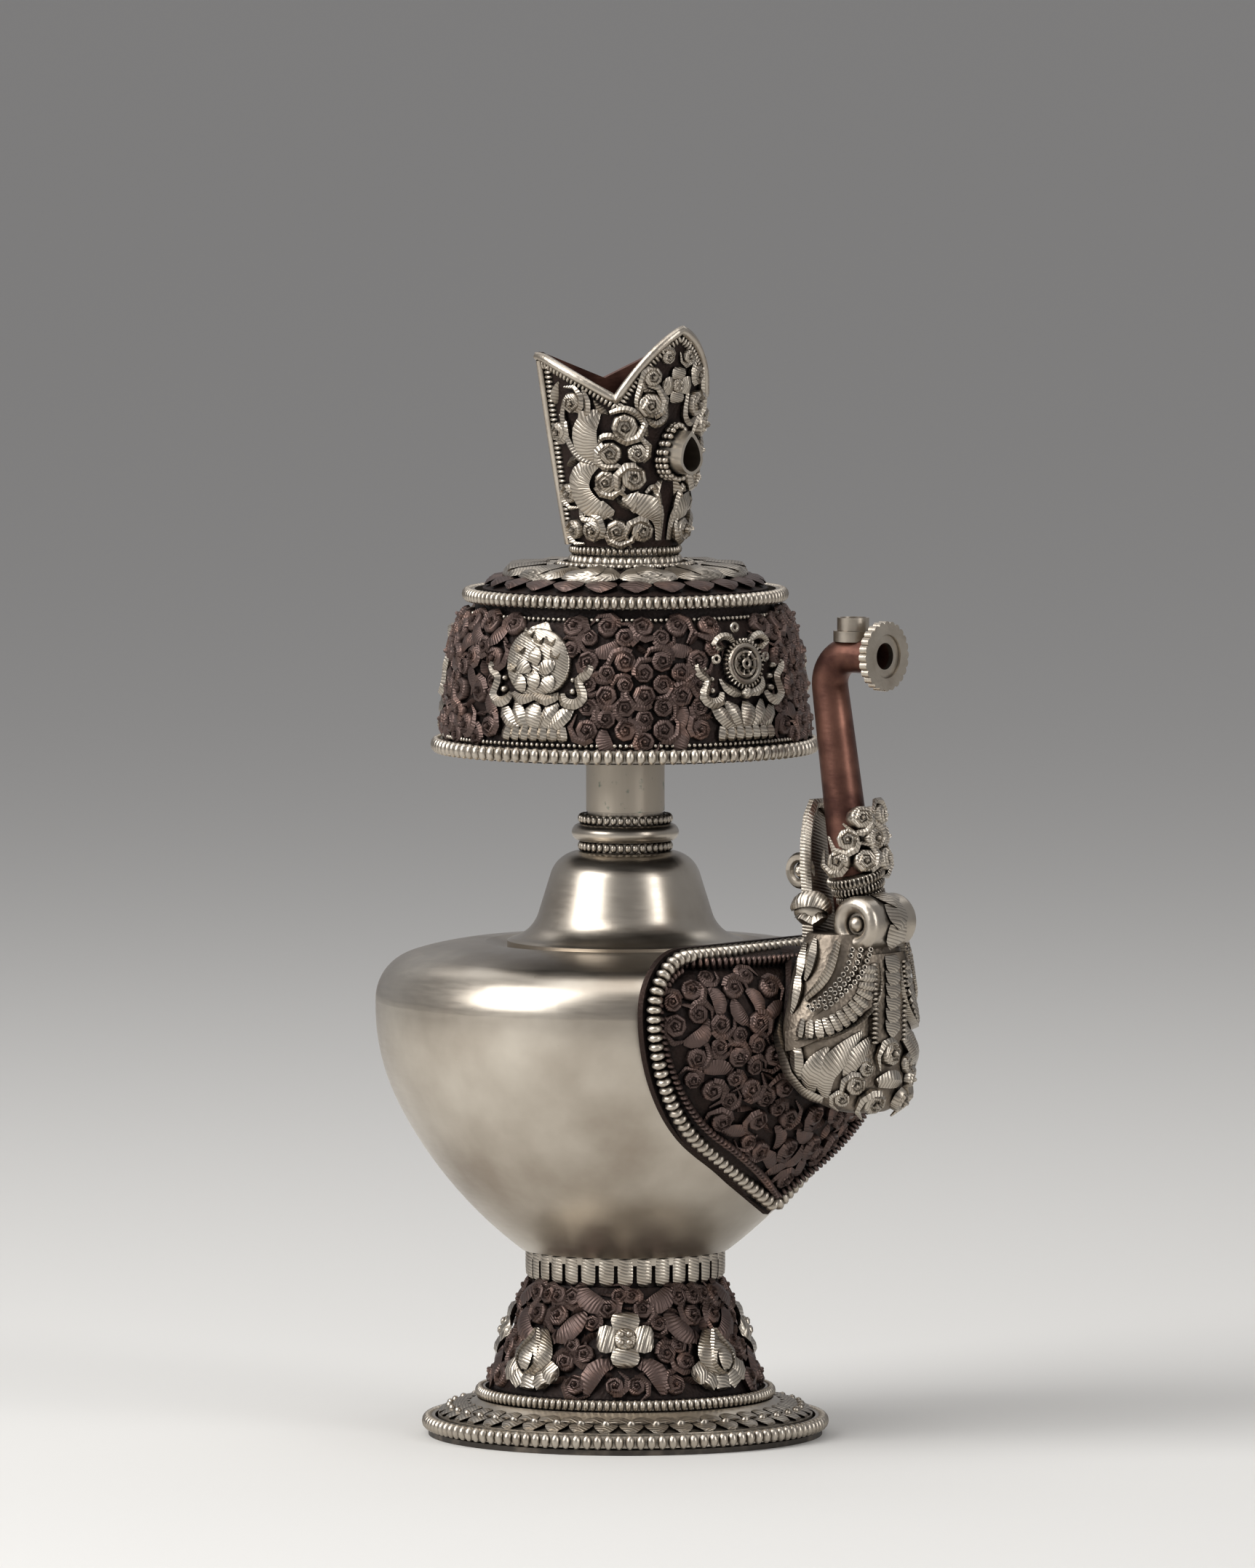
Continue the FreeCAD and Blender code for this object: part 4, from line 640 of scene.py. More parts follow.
def along_shield(inset, pitch, place, slant=0.0):
    """Places along both halves of the plaque's outline; slant turns a motif from square to the edge."""
    return [place(side * across, height, side * (math.degrees(heading) - 90 + slant))
            for across, height, heading in shield_walk(inset, pitch) for side in SIDES]


def build_border(sizes):
    """The plaque's border: plump beads across its edge, and a thinner rope inside it."""
    low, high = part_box("plaque_border")
    middle = (low.x + high.x) / 2 / MM
    pitch = sizes.border / MM

    def on_edge(across, height, turn):
        return stand((middle, across, height), (1, 0, 0), (0, 0, 1), turn)

    def on_field(across, height, turn):
        return place_on(plaque_surface, across, height, turn, 1.0, 1.1)

    beads = spread(bead((3.1, pitch * 0.97, 3.0), 8, 6), along_shield(1.5, pitch, on_edge))
    finish(beads, "plaque_bead_border", "beaded_silver", "vessel", "plaque_border", sharp=BEAD_CREASE)
    rope = spread(bead((1.9, 1.05, 2.4), 7, 5), along_shield(3.8, 1.1, on_field, 24))
    finish(rope, "plaque_rope_border", "oxidised_copper", "vessel", sharp=BEAD_CREASE)


def inside_shield(across, height, inset):
    """Whether a point lies inside the plaque's outline, drawn in by an inset."""
    side = abs(across)
    if side - SIDE_MIDDLE > math.tan(SHIELD_SLOPE) * (SHIELD_LEVEL - height):
        below = SIDE_RADIUS - math.hypot(side - SIDE_MIDDLE, min(0.0, height - SHIELD_LEVEL))
    else:
        below = (height - SHIELD_POINT - side * math.tan(SHIELD_SLOPE)) * math.cos(SHIELD_SLOPE)
    corner = CORNER_RADIUS - math.hypot(max(0.0, side - CORNER_MIDDLE), max(0.0, height - SHIELD_LEVEL))
    return min(below, corner) > inset


def build_plaque_relief(sizes):
    """Curls and leaves over the plaque, round the spout's foot; the main ones sit on the frame's scrolls."""
    column_pitch, row_pitch, top_row, margin = 7.0, 6.1, 87.75, 5.6
    head_middle, head_half_width, head_half_height = 80.0, 14.0, 15.5
    spots = []
    for main, column, row in lattice(range(-1, 7), range(-5, 6)):
        across = column_pitch * column
        height = top_row - row_pitch * row
        near_head = math.hypot(across / head_half_width, (height - head_middle) / head_half_height) < 1
        if inside_shield(across, height, margin) and not near_head:
            spots.append((main, place_on(plaque_surface, across, height)))
    pieces = relief_field(7, spots, sizes.curl)
    finish(pieces, "plaque_relief", "oxidised_copper", "vessel", "plaque_scrolls")


# Lid: profiles of its wall and its dome, as (radius, height) corners
WALL = [(33.85, 132.1), (32.0, 149.0), (31.3, 152.4), (29.3, 155.4)]
DOME = [(26.85, 160.2), (22.4, 161.9), (18.0, 163.1), (13.0, 164.0)]
EMBLEM_STEP = 72


def build_lid_relief(sizes):
    """Five fields of relief between the emblems; the main curls sit on the frame's scrolls."""
    column_pitch, row_pitch, first_row = 12.1, 6.42, 135.48
    lowest, shoulder, highest = 133.0, 149.5, 155.0
    spots = []
    for field in range(5):
        middle = LID_FRONT + EMBLEM_STEP * (field + 0.5)
        for main, column, row in lattice(range(5), range(-2, 3)):
            height = first_row + row_pitch * (row - 1)
            reach = 2.1 if height > shoulder else 1.6
            if abs(column) < reach and lowest < height < highest:
                place = place_on(turned(WALL), middle + column_pitch * column, height - WALL[0][1])
                spots.append((main, place))
    pieces = relief_field(11, spots, sizes.curl)
    finish(pieces, "lid_relief", "oxidised_copper", "lid", "lid_scrolls")


def build_lid_rows(sizes):
    """Fine bead rows at the foot and at the top of the lid's wall."""
    grain = sizes.fine / MM
    rows = []
    for radius, height in ((34.35, 132.6), (29.5, 155.75)):
        amount = int(2 * math.pi * radius / (grain * 1.2))
        rows.append(bead_row(radius, height, amount, (grain, grain, grain), 6, 4))
    finish(rows, "lid_fine_beads", "beaded_silver", "lid", sharp=BEAD_CREASE)


def model_lotus():
    """A lotus throne: a fan of petals over a row of turned-down ones, flat."""
    pieces = [blade(5, 3.5, 2.2, ((3.2, 0.6), (5.0, 1.0), (6.8, 0.95), (8.1, 0.4)))]
    fan = (((1.5, 3.2, 0.6), (2.6, 4.8, 1.0), (3.6, 6.6, 0.95), (4.6, 8.2, 0.35)),
           ((3.0, 3.2, 0.6), (4.9, 4.4, 1.0), (6.4, 6.0, 0.95), (7.8, 7.9, 0.3)))
    for side in SIDES:
        pieces += [stroke(5, 2.9, 2.0, mirrored(marks, side)) for marks in fan]
    down = blade(5, 2.05, 1.9, ((0, 0.75), (-1.2, 1.0), (-2.2, 0.95), (-2.8, 0.6)))
    return pieces + spread(down, [flat(index * 1.92, 3.5, index * 3) for index in range(-3, 4)])


def model_ribbons():
    """Ribbons that curl up on both sides of an emblem, flat."""
    marks = ((5.4, 9.9, 0.6), (6.2, 8.4, 1.0), (8.2, 8.0, 1.05), (9.6, 9.3, 1.0), (9.1, 11.2, 0.9),
             (8.7, 12.6, 0.9), (9.9, 13.6, 0.95), (10.6, 15.2, 0.85), (9.8, 16.2, 0.4))
    pieces = []
    for side in SIDES:
        pieces.append(stroke(5, 1.9, 2.3, mirrored(marks, side), 2))
        for x, y, size in ((7.5, 10.4, 1.7), (7.4, 12.6, 1.3), (8.9, 14.7, 1.6)):
            grain = bead((size, size, 2.6), 8, 5)
            grain.matrix_world = flat(side * x, y)
            pieces.append(grain)
    return pieces


def model_jewels():
    """Heaped jewels on a draped cloth, before a plate of flame, flat."""
    halo = boss(22, ((6.9, 0), (6.8, 1.0), (6.4, 1.3)))
    halo.matrix_world = flat(0, 15.6) @ Matrix.Diagonal((1, 0.98, 1, 1))
    tip = stroke(5, 6.4, 1.3, ((0, 19.0, 1.0), (0.6, 21.6, 0.8), (1.4, 23.4, 0.1)))
    drape = ((-5.0, 9.7, 0.6), (-2.6, 8.5, 1.1), (0, 9.3, 0.8), (2.6, 8.5, 1.1), (5.0, 9.7, 0.6))
    cloth = stroke(5, 1.9, 2.2, drape, 2)
    fruit = blade(5, 2.7, 1.1, ((-1.8, 0.3), (-0.7, 0.95), (0.5, 1.0), (1.8, 0.25)))
    heap = ((0, 12.3, 0), (-2.9, 11.7, 20), (2.9, 11.7, -20), (-2.5, 14.9, 60), (2.5, 14.9, -50),
            (0, 16.9, 0))
    jewels = spread(fruit, [flat(x, y, turn, 1.0, 1.2) for x, y, turn in heap])
    spark = stroke(3, 0.7, 0.8, ((-0.9, 0.7, 0.4), (-0.7, -0.4, 1.0), (0.3, -0.7, 1.0), (0.9, 0.3, 0.3)))
    sparks = ((-3.6, 18.2), (0.4, 20.2), (3.9, 17.4), (2.8, 20.0), (-1.6, 21.4), (-5.0, 14.6))
    flames = spread(spark, [flat(x, y, 0, 1.1, 1.2) for x, y in sparks])
    return [halo, tip, cloth] + jewels + flames


def wire_ring(radius, wire, x, y, lift):
    """A wire ring of a flat motif, hammered a little flat."""
    deselect()
    bpy.ops.mesh.primitive_torus_add(major_segments=24, minor_segments=6, major_radius=radius,
                                     minor_radius=wire)
    bpy.ops.transform.resize(value=(1, 1, 0.8))
    ring = settle()
    ring.matrix_world = flat(x, y, lift=lift)
    return ring


def model_wheel():
    """A wheel with a milled rim between looped ribbons, flat."""
    hub = 15.2
    rings = [wire_ring(radius, wire, 0, hub, lift) for radius, wire, lift in (
        (3.5, 0.55, 1.4), (2.3, 0.4, 1.4), (0.75, 0.35, 1.8))]
    rings += [wire_ring(0.7, 0.35, x, y, 0.8) for x, y in ((-6.2, 16.4), (6.2, 16.4), (-1.5, 22.2))]
    disc = boss(20, ((4.4, 0), (4.3, 0.9), (3.9, 1.2)))
    disc.matrix_world = flat(0, hub)
    spoke = blade(3, 0.8, 0.9, ((0.7, 0.8), (1.6, 0.8), (2.4, 1.3)))
    spokes = spread(spoke, [flat(0, hub, turn, 1.0, 1.1) for turn in range(20, 380, 45)])
    tooth = bead((0.62, 1.5, 1.4), 6, 4)
    teeth = spread(tooth, [flat(0, hub, turn) @ flat(0, 4.3, lift=1.0) for turn in range(0, 360, 11)])
    loop = ((1.9, 18.9, 0.6), (2.9, 20.3, 1.0), (5.0, 20.6, 1.0), (6.6, 19.3, 0.9), (5.3, 18.3, 0.8),
            (3.9, 18.6, 0.4))
    leaf = ((0.8, 9.6, 0.5), (2.8, 9.8, 1.0), (4.6, 10.9, 0.9), (5.4, 12.6, 0.3))
    loops = []
    for side in SIDES:
        loops.append(stroke(5, 1.4, 1.9, mirrored(loop, side), 2))
        loops.append(stroke(5, 1.8, 1.8, mirrored(leaf, side), 2))
    knot = boss(8, ((1.2, 0), (1.1, 1.6), (0.5, 2.2)))
    knot.matrix_world = flat(0, 9.6)
    return rings + [disc, knot] + spokes + teeth + loops


def model_open_lotus():
    """An open lotus flower, flat."""
    flower = model_blossom()
    flower.matrix_world = flat(0, 14.8, 45, 1.1)
    return [flower]


def bend_to(piece, radius):
    """Bends a flat motif round an upright cylinder; its face still looks up at its middle."""
    piece.data.transform(Matrix.Rotation(math.pi / 2, 4, "X"))
    deselect()
    piece.select_set(True)
    bpy.context.view_layer.objects.active = piece
    bend = piece.modifiers.new("bend", "SIMPLE_DEFORM")
    bend.deform_method = "BEND"
    bend.deform_axis = "Z"
    bend.angle = piece.dimensions.x / radius
    bpy.ops.object.modifier_apply(modifier="bend")
    piece.data.transform(Matrix.Rotation(-math.pi / 2, 4, "X"))


def build_emblems():
    """Five emblems on lotus thrones round the lid, each bent to the wall's radius."""
    kinds = (model_wheel, model_open_lotus, model_jewels, model_wheel, model_jewels)
    mean_radius = 33.0
    for index, model in enumerate(kinds):
        motif = join(model_lotus() + model_ribbons() + model(), "emblem")
        bend_to(motif, mean_radius)
        label = "lid_emblem_%d" % (index + 1)
        place = place_on(turned(WALL), LID_FRONT + EMBLEM_STEP * index, 0.4, 0, 0.98)
        finish(spread(motif, [place]), label + "_chased", "chased_silver", "lid", label)


def build_lid_top():
    """Broad petals round the foot of the finial, over a dark row of leaf tips."""
    surface = turned(DOME)
    reach = profile_length(DOME)
    petal = blade(7, 11.6, 1.9, ((0, 0.42), (2.5, 0.68), (5.0, 0.88), (7.4, 1.0), (8.9, 0.9), (9.6, 0.55)))
    panel = blade(5, 4.8, 1.5, ((1.6, 0.5), (4.4, 0.75), (6.8, 1.0), (8.8, 1.0), (9.3, 0.7)))
    panel.matrix_world = flat(0, 0, lift=0.9)
    petal = join([petal, panel], "lid_petal")
    places = [place_on(surface, LID_FRONT + 30 * index, reach - 0.5, 180) for index in range(12)]
    finish(spread(petal, places), "lid_top_petals", "chased_silver", "lid", "lid_petals")
    leaf = blade(5, 6.2, 1.3, ((0, 0.6), (1.5, 0.88), (3.0, 1.0), (4.2, 0.7), (4.9, 0.2)))
    places = [place_on(surface, LID_FRONT + 15 * (index + 0.5), 5.4, 180) for index in range(24)]
    finish(spread(leaf, places), "lid_top_leaves", "oxidised_copper", "lid", "lid_leaves")


# Finial: its foot and rise, its radius there, and how far it flares, leans back and is cut off flat behind
FINIAL_FOOT = 168.35
FINIAL_RISE = 42.85
FINIAL_RADIUS = 10.3
FINIAL_FLARE = 7.9
FINIAL_LEAN = 2.6
FINIAL_BACK = -5.7
FINIAL_CORNER = 204.8

# Its top edge, seen along one wing: the dip, the run and rise to the corner, and a bow up to the peak.
DIP_ACROSS = -1.75
DIP_HEIGHT = 197.0
WING_RUN = 13.65
WING_RISE = 7.8
PEAK_RUN = 12.19
PEAK_RISE = 13.0
PEAK_BOW = 5.9
WING_FACING = (0.669, 0.743)


def finial_ring(height):
    """Radius of the finial's front at a height, and how far back its middle lies."""
    share = (height - FINIAL_FOOT) / FINIAL_RISE
    return FINIAL_RADIUS + FINIAL_FLARE * share, FINIAL_LEAN * share


def finial_surface(angle, height):
    """The finial's flared front; angle 0 is its front, which the lid's turn carries round."""
    radius, back = finial_ring(height)
    side = math.radians(angle)
    spin = Matrix.Rotation(math.radians(LID_FRONT), 3, "Z")
    return spin @ Vector((radius * math.cos(side) - back, radius * math.sin(side), height))


# Kind, angle from the front, height, turn and size of the finial's small motifs on one side.
FINIAL_SCROLL = (
    ("curl", 75.8, 195.6, 20, 1.0), ("curl", 39.0, 191.2, 90, 1.25), ("curl", 50.5, 186.2, 200, 1.08),
    ("curl", 30.0, 186.2, 20, 0.95), ("curl", 55.5, 180.8, 120, 1.1), ("curl", 33.0, 181.6, 240, 1.22),
    ("curl", 72.5, 171.5, 0, 1.08), ("curl", 49.0, 171.5, 130, 1.08), ("curl", 25.5, 171.5, 260, 1.08),
    ("curl", 21.2, 195.2, 30, 1.2), ("curl", 19.5, 200.6, 210, 0.95), ("curl", 8.6, 204.2, 300, 0.7),
    ("sprig", 83.0, 184.6, 60, 1.15), ("sprig", 63.0, 174.6, 100, 1.0), ("sprig", 56.0, 194.6, -50, 1.0),
    ("sprig", 12.0, 178.8, 10, 1.2), ("curl", 93.0, 190.0, 60, 0.95), ("curl", 94.0, 178.4, 200, 0.95),
    ("curl", 96.0, 171.6, 200, 0.95), ("sprig", 91.0, 197.2, 10, 1.1), ("sprig", 27.0, 191.0, 70, 1.0),
    ("sprig", 40.0, 176.2, -70, 0.95), ("sprig", 7.0, 207.2, 20, 0.8), ("sprig", 62.5, 187.8, -20, 0.95),
)

# Width and marks of angle, height and size of its three large leaves on one side.
FINIAL_LEAVES = (
    (5.0, ((-62.0, 184.3, 0.3), (-66.0, 185.9, 0.75), (-68.5, 188.0, 1.0), (-68.0, 190.4, 1.0),
           (-65.0, 192.2, 0.82), (-64.6, 192.3, 0.98), (-57.0, 194.0, 0.25))),
    (4.6, ((-61.0, 184.2, 0.3), (-71.0, 183.3, 0.75), (-78.5, 181.0, 1.0), (-78.0, 178.4, 1.0),
           (-71.0, 176.2, 0.95), (-62.0, 175.3, 0.7), (-61.4, 175.3, 0.88), (-51.0, 174.8, 0.2))),
    (4.4, ((-7.0, 169.6, 0.3), (-8.0, 172.6, 0.45), (-13.0, 174.9, 0.85), (-22.0, 176.2, 1.0),
           (-31.0, 177.0, 0.8), (-31.5, 177.0, 0.96), (-43.0, 177.6, 0.2))),
)

# Marks of angle, height and size of the stems that tie the curls together on one side.
FINIAL_STEMS = (
    ((-82.0, 196.4, 0.5), (-86.0, 193.0, 0.9), (-84.0, 188.6, 1.0), (-76.0, 185.4, 1.0), (-64.0, 184.0, 0.6)),
    ((-67.0, 198.0, 0.6), (-64.0, 196.0, 1.0), (-66.0, 193.0, 0.9), (-72.0, 191.0, 0.6)),
    ((-49.0, 193.8, 0.6), (-38.0, 194.6, 1.0), (-27.0, 192.8, 1.0), (-23.0, 189.4, 0.6)),
    ((-63.0, 184.2, 0.6), (-53.0, 183.6, 1.0), (-43.0, 183.4, 0.9), (-41.0, 179.6, 0.5)),
    ((-11.0, 197.6, 0.6), (-9.0, 193.2, 1.0), (-17.0, 191.6, 1.0), (-27.0, 193.6, 0.5)),
    ((-41.0, 188.2, 0.6), (-47.0, 189.4, 0.9), (-57.0, 189.0, 0.9), (-62.0, 185.6, 0.5)),
    ((-22.0, 178.6, 0.6), (-16.0, 179.8, 0.9), (-10.0, 177.0, 0.9), (-7.0, 172.0, 0.6)),
    ((-84.0, 176.0, 0.5), (-82.0, 173.6, 0.9), (-66.0, 173.4, 0.8), (-61.0, 172.0, 0.5)),
    ((-26.0, 203.0, 0.5), (-27.0, 199.6, 0.9), (-30.0, 196.0, 0.9), (-28.0, 193.4, 0.5)),
)


def build_finial_scroll():
    """The scroll of leaves, curls and stems on the finial, the same on both sides of its front."""
    pieces = scroll_of(finial_surface, FINIAL_SCROLL, 0)
    for side in SIDES:
        for width, marks in FINIAL_LEAVES:
            pieces.append(lay(finial_surface, 5, width, 1.7, mirrored(marks, side), 2))
        for marks in FINIAL_STEMS:
            pieces.append(lay(finial_surface, 5, 1.35, 1.5, mirrored(marks, side), 3))
    pieces += spread(model_blossom(), [place_on(finial_surface, 0, 198.8, 0, 0.66)])
    finish(pieces, "finial_scroll", "chased_silver", "lid")


def crown_limit(across):
    """Height of one wing's top edge: down from its corner to a dip, then up a bow to the peak."""
    if across < DIP_ACROSS:
        return DIP_HEIGHT + min(DIP_ACROSS - across, WING_RUN) * WING_RISE / WING_RUN
    share = min((across - DIP_ACROSS) / PEAK_RUN, 1.0)
    return DIP_HEIGHT + PEAK_RISE * share + PEAK_BOW * share * (1 - share)


def crown_height(angle):
    """Height of the finial's top edge at an angle from its front: the lower of both wings' edges."""
    side = math.radians(angle)
    height = 200.0
    # The front flares, so the edge's radius hangs on the height that is sought: a few rounds settle it.
    for attempt in range(8):
        radius, back = finial_ring(height)
        out = WING_FACING[0] * (radius * math.cos(side) - back)
        across = WING_FACING[1] * radius * math.sin(side)
        height = min(crown_limit(out + across), crown_limit(out - across))
    return height


def side_edge(height):
    """Angle of the finial's side edge at a height, where its flat back cuts the front off."""
    radius, back = finial_ring(height)
    return math.degrees(math.acos((back + FINIAL_BACK) / radius))


def build_finial_border():
    """A plain wire and a milled strip along the top edge and up each side."""
    corner = side_edge(203.6)
    angles = [corner * step / 30 for step in range(-30, 31)]
    top = [(angle, crown_height(angle)) for angle in angles]
    wire = [(angle, height - 0.7, 1.0) for angle, height in top]
    pieces = [lay(finial_surface, 5, 1.8, 1.7, wire, 1, -0.3)]
    bar = bead((2.2, 0.86, 1.7), 7, 5)
    strip = [(angle * 0.97, height - 2.3) for angle, height in top]
    pieces += copies(bar, row_along(finial_surface, strip, 0.84))
    for side in SIDES:
        edge = [(side_edge(height), height) for height in (168.6, 177, 186, 195, 203.4)]
        wire = [(side * (angle - 1.5), height, 1.0) for angle, height in edge]
        strip = [(side * (angle - 8.5), height) for angle, height in edge]
        pieces.append(lay(finial_surface, 5, 1.6, 1.5, wire, 3, -0.3))
        pieces += copies(bar, row_along(finial_surface, strip, 0.92))
    discard(bar)
    finish(pieces, "finial_rope_border", "beaded_silver", "lid", sharp=BEAD_CREASE)


def build_finial_back():
    """The flat back plate: its top edge falls from both corners to a dip behind the front's wings."""
    foot_half, corner_half, dip, wall = 8.58, 15.9, 199.4, 0.9
    tall = FINIAL_CORNER - FINIAL_FOOT
    deselect()
    bpy.ops.mesh.primitive_plane_add(size=1, rotation=(math.pi / 2, 0, math.pi / 2))
    bpy.ops.transform.resize(value=(1, 2 * foot_half * MM, tall * MM))
    bpy.ops.transform.translate(value=((FINIAL_BACK - 0.05) * MM, 0, (FINIAL_CORNER + FINIAL_FOOT) / 2 * MM))
    plate = settle()
    bpy.ops.object.mode_set(mode="EDIT")
    bpy.ops.mesh.select_all(action="SELECT")
    bpy.ops.mesh.subdivide(number_cuts=1)
    bpy.ops.object.mode_set(mode="OBJECT")
    for vertex in plate.data.vertices:
        share = (vertex.co.z / MM - FINIAL_FOOT) / tall
        vertex.co.y *= 1 + (corner_half / foot_half - 1) * share
        if share > 0.9 and abs(vertex.co.y) < MM:
            vertex.co.z = dip * MM
    bpy.ops.object.mode_set(mode="EDIT")
    bpy.ops.mesh.select_all(action="SELECT")
    bpy.ops.mesh.extrude_region_move(TRANSFORM_OT_translate={"value": (-wall * MM, 0, 0)})
    bpy.ops.object.mode_set(mode="OBJECT")
    plate.rotation_euler.z = math.radians(LID_FRONT)
    finish([plate], "finial_back_sheet", "spout_copper", "lid", "finial_back", sharp=30)


def build_jewel_collar():
    """Three rows of beads round the empty teardrop setting, the last one on the sheet."""
    amount, middle, point, bottom, half = 22, 185.4, 5.9, 4.2, 3.5
    spin = Matrix.Rotation(math.radians(LID_FRONT), 3, "Z")
    places = []
    for index in range(amount):
        angle = 2 * math.pi * index / amount
        up = math.cos(angle)
        across = half * math.sin(angle) * (1 - 0.32 * max(0.0, up))
        height = middle + (point if up > 0 else bottom) * up
        sheet = finial_surface(0, height).xy.length
        for depth in (14.9, 13.7, sheet + 0.4):
            spot = spin @ Vector((depth, across, height))
            places.append(stand(spot, spin @ Vector((1, 0, 0)), (0, 0, 1)))
    pieces = spread(bead((1.25, 1.25, 1.3), 7, 5), places)
    finish(pieces, "finial_setting_beads", "beaded_silver", "lid", "finial_bezel_beads", sharp=BEAD_CREASE)


# Spout: how far the tube leans in for each millimetre up, and the middles and sizes of what sits round it
TUBE_LEAN = 0.153
LIP_MIDDLE = (47.48, 94.16)
SNOUT_MIDDLE = Vector((59.8, 0, 100.0))
SNOUT_RADIUS = 4.8
EYE_MIDDLE = Vector((49.1, 5.4, 102.4))
EYE_RADIUS = 3.5
JAW_FRONT = 50.2
JAW_BEND = 104.0
ROLL_MIDDLE = (45.4, 0, 109.2)
BUNCH_FOOT = (57.6, 92.0)
BUNCH_RADIUS = 5.2
CUP_FOOT = Vector((56.6, 0, 103.9))

# Height, middle, half-depth and half-width of the sea monster's head, from its chin up.
HEAD = ((64.6, 57.5, 3.4, 4.65), (67.3, 55.4, 7.2, 10.35), (72.6, 53.2, 9.6, 13.95), (79.6, 52.6, 10.0, 15.0),
        (86.6, 53.2, 9.6, 13.35), (93.0, 53.8, 8.8, 11.25), (98.0, 54.2, 7.6, 9.0))


def head_level(height):
    """Middle, half-depth and half-width of the head at a height."""
    for low, high in zip(HEAD, HEAD[1:]):
        if height <= high[0]:
            break
    share = (height - low[0]) / (high[0] - low[0])
    return [a + (b - a) * share for a, b in zip(low[1:], high[1:])]


def head_surface(angle, height):
    """The head's skin; angle 0 looks forward."""
    middle, depth, width = head_level(height)
    side = math.radians(angle)
    return Vector((middle + depth * math.cos(side), width * math.sin(side), height))


def cheek(forward, height, side):
    """Angle and height of the point of one cheek that lies a distance forward."""
    middle, depth, width = head_level(height)
    share = max(-1.0, min(1.0, (forward - middle) / depth))
    return side * math.degrees(math.acos(share)), height


def lip_arc(radius, low, high, side):
    """Marks on a cheek along the lip's circle, between two heights."""
    marks = []
    for step in range(9):
        height = high + (low - high) * step / 8
        forward = LIP_MIDDLE[0] + math.sqrt(radius ** 2 - (height - LIP_MIDDLE[1]) ** 2)
        marks.append(cheek(forward, height, side))
    return marks


def build_face():
    """Dotted lips, ribbed cheeks, the beaded nose bridge and the pointed scales down its middle."""
    dot = boss(7, ((0.56, 0), (0.52, 0.42), (0.3, 0.44), (0.24, 0.12)))
    rib = blade(5, 1.6, 1.3, ((-1.7, 0.55), (-0.4, 0.9), (1.0, 1.0), (1.8, 0.7)))
    bar = bead((1.9, 0.82, 1.5), 8, 4)
    scale = blade(5, 5.0, 1.2, ((2.0, 0.85), (0.6, 1.0), (-0.8, 0.95), (-1.8, 0.5), (-2.5, 0.12)))
    scale.matrix_world = Matrix.Rotation(math.radians(-13), 4, "X")
    pieces = []
    for side in SIDES:
        for radius, shift in ((12.3, 0.0), (13.1, 0.5), (13.9, 0.0)):
            arc = lip_arc(radius, 84.4 - shift, 95.6, side)
            pieces += copies(dot, row_along(head_surface, arc, 1.15, 0, 1.0, 1.6))
        smooth = [(*cheek(forward, height, side), size) for forward, height, size in (
            (57.8, 96.6, 0.7), (57.6, 92.0, 1.0), (56.4, 88.6, 1.0), (54.2, 86.0, 0.6))]
        pieces.append(lay(head_surface, 5, 1.7, 2.2, smooth, 3))
        ribs = [cheek(forward, height, side) for forward, height in (
            (61.5, 92.4), (61.6, 87.4), (60.3, 83.6), (57.4, 81.0), (53.6, 80.9))]
        pieces += copies(rib, row_along(head_surface, ribs, 1.5, -90 * side, 1.0, 0.75))
        edge = [(*cheek(forward, height, side), size) for forward, height, size in (
            (62.3, 92.8, 0.6), (62.5, 87.2, 1.0), (61.6, 82.6, 1.0), (58.6, 79.6, 1.0), (53.4, 79.0, 0.9))]
        pieces.append(lay(head_surface, 3, 1.1, 1.5, edge, 3, 0.3))
        strip = []
        for height in (93.0, 89.0, 85.0, 81.0, 77.6):
            half_width = head_level(height)[2]
            strip.append((side * math.degrees(math.asin(4.1 / half_width)), height))
        pieces += copies(bar, row_along(head_surface, strip, 0.92, 0, 1.0, 0.9))
    places = [place_on(head_surface, 0, 92.2 - 2.3 * index, 0, 0.84, 0.9) for index in range(6)]
    for angle in (-26, 16, 58):
        side = math.radians(angle)
        out = Vector((math.cos(side), 0, math.sin(side)))
        up = Vector((-math.sin(side), 0, math.cos(side)))
        places.append(stand(SNOUT_MIDDLE + out * SNOUT_RADIUS, out, up, 0, 1.15))
    pieces += copies(scale, places)
    discard(dot, rib, bar, scale)
    finish(pieces, "makara_face", "chased_silver", "vessel")


# Width and marks of angle, height and size of the mane's blades on one side.
MANE = (
    (3.0, ((93.0, 71.2, 0.4), (88.0, 74.4, 1.0), (87.0, 77.0, 0.8), (89.0, 79.2, 0.3))),
    (3.6, ((99.0, 68.4, 0.4), (80.0, 71.6, 0.95), (67.0, 74.8, 1.0), (56.0, 77.4, 0.25))),
    (4.0, ((76.0, 68.2, 0.4), (62.0, 72.6, 1.0), (45.0, 76.4, 0.95), (25.0, 80.0, 0.2))),
    (3.4, ((44.0, 71.6, 0.4), (36.0, 75.0, 1.0), (24.0, 77.6, 0.7), (16.0, 79.0, 0.2))),
    (3.6, ((124.0, 83.0, 0.6), (113.0, 77.5, 0.95), (103.0, 72.6, 1.0), (100.0, 69.4, 1.0),
           (84.0, 67.6, 0.5))),
    (2.6, ((112.0, 96.0, 0.4), (102.0, 93.0, 1.0), (100.0, 90.4, 0.8), (104.0, 88.4, 0.3))),
    (2.6, ((106.0, 91.4, 0.4), (97.0, 88.4, 1.0), (96.0, 85.6, 0.8), (100.0, 83.4, 0.3))),
    (2.4, ((96.0, 97.0, 0.4), (90.0, 94.4, 1.0), (89.0, 91.6, 0.8), (92.0, 89.6, 0.3))),
)


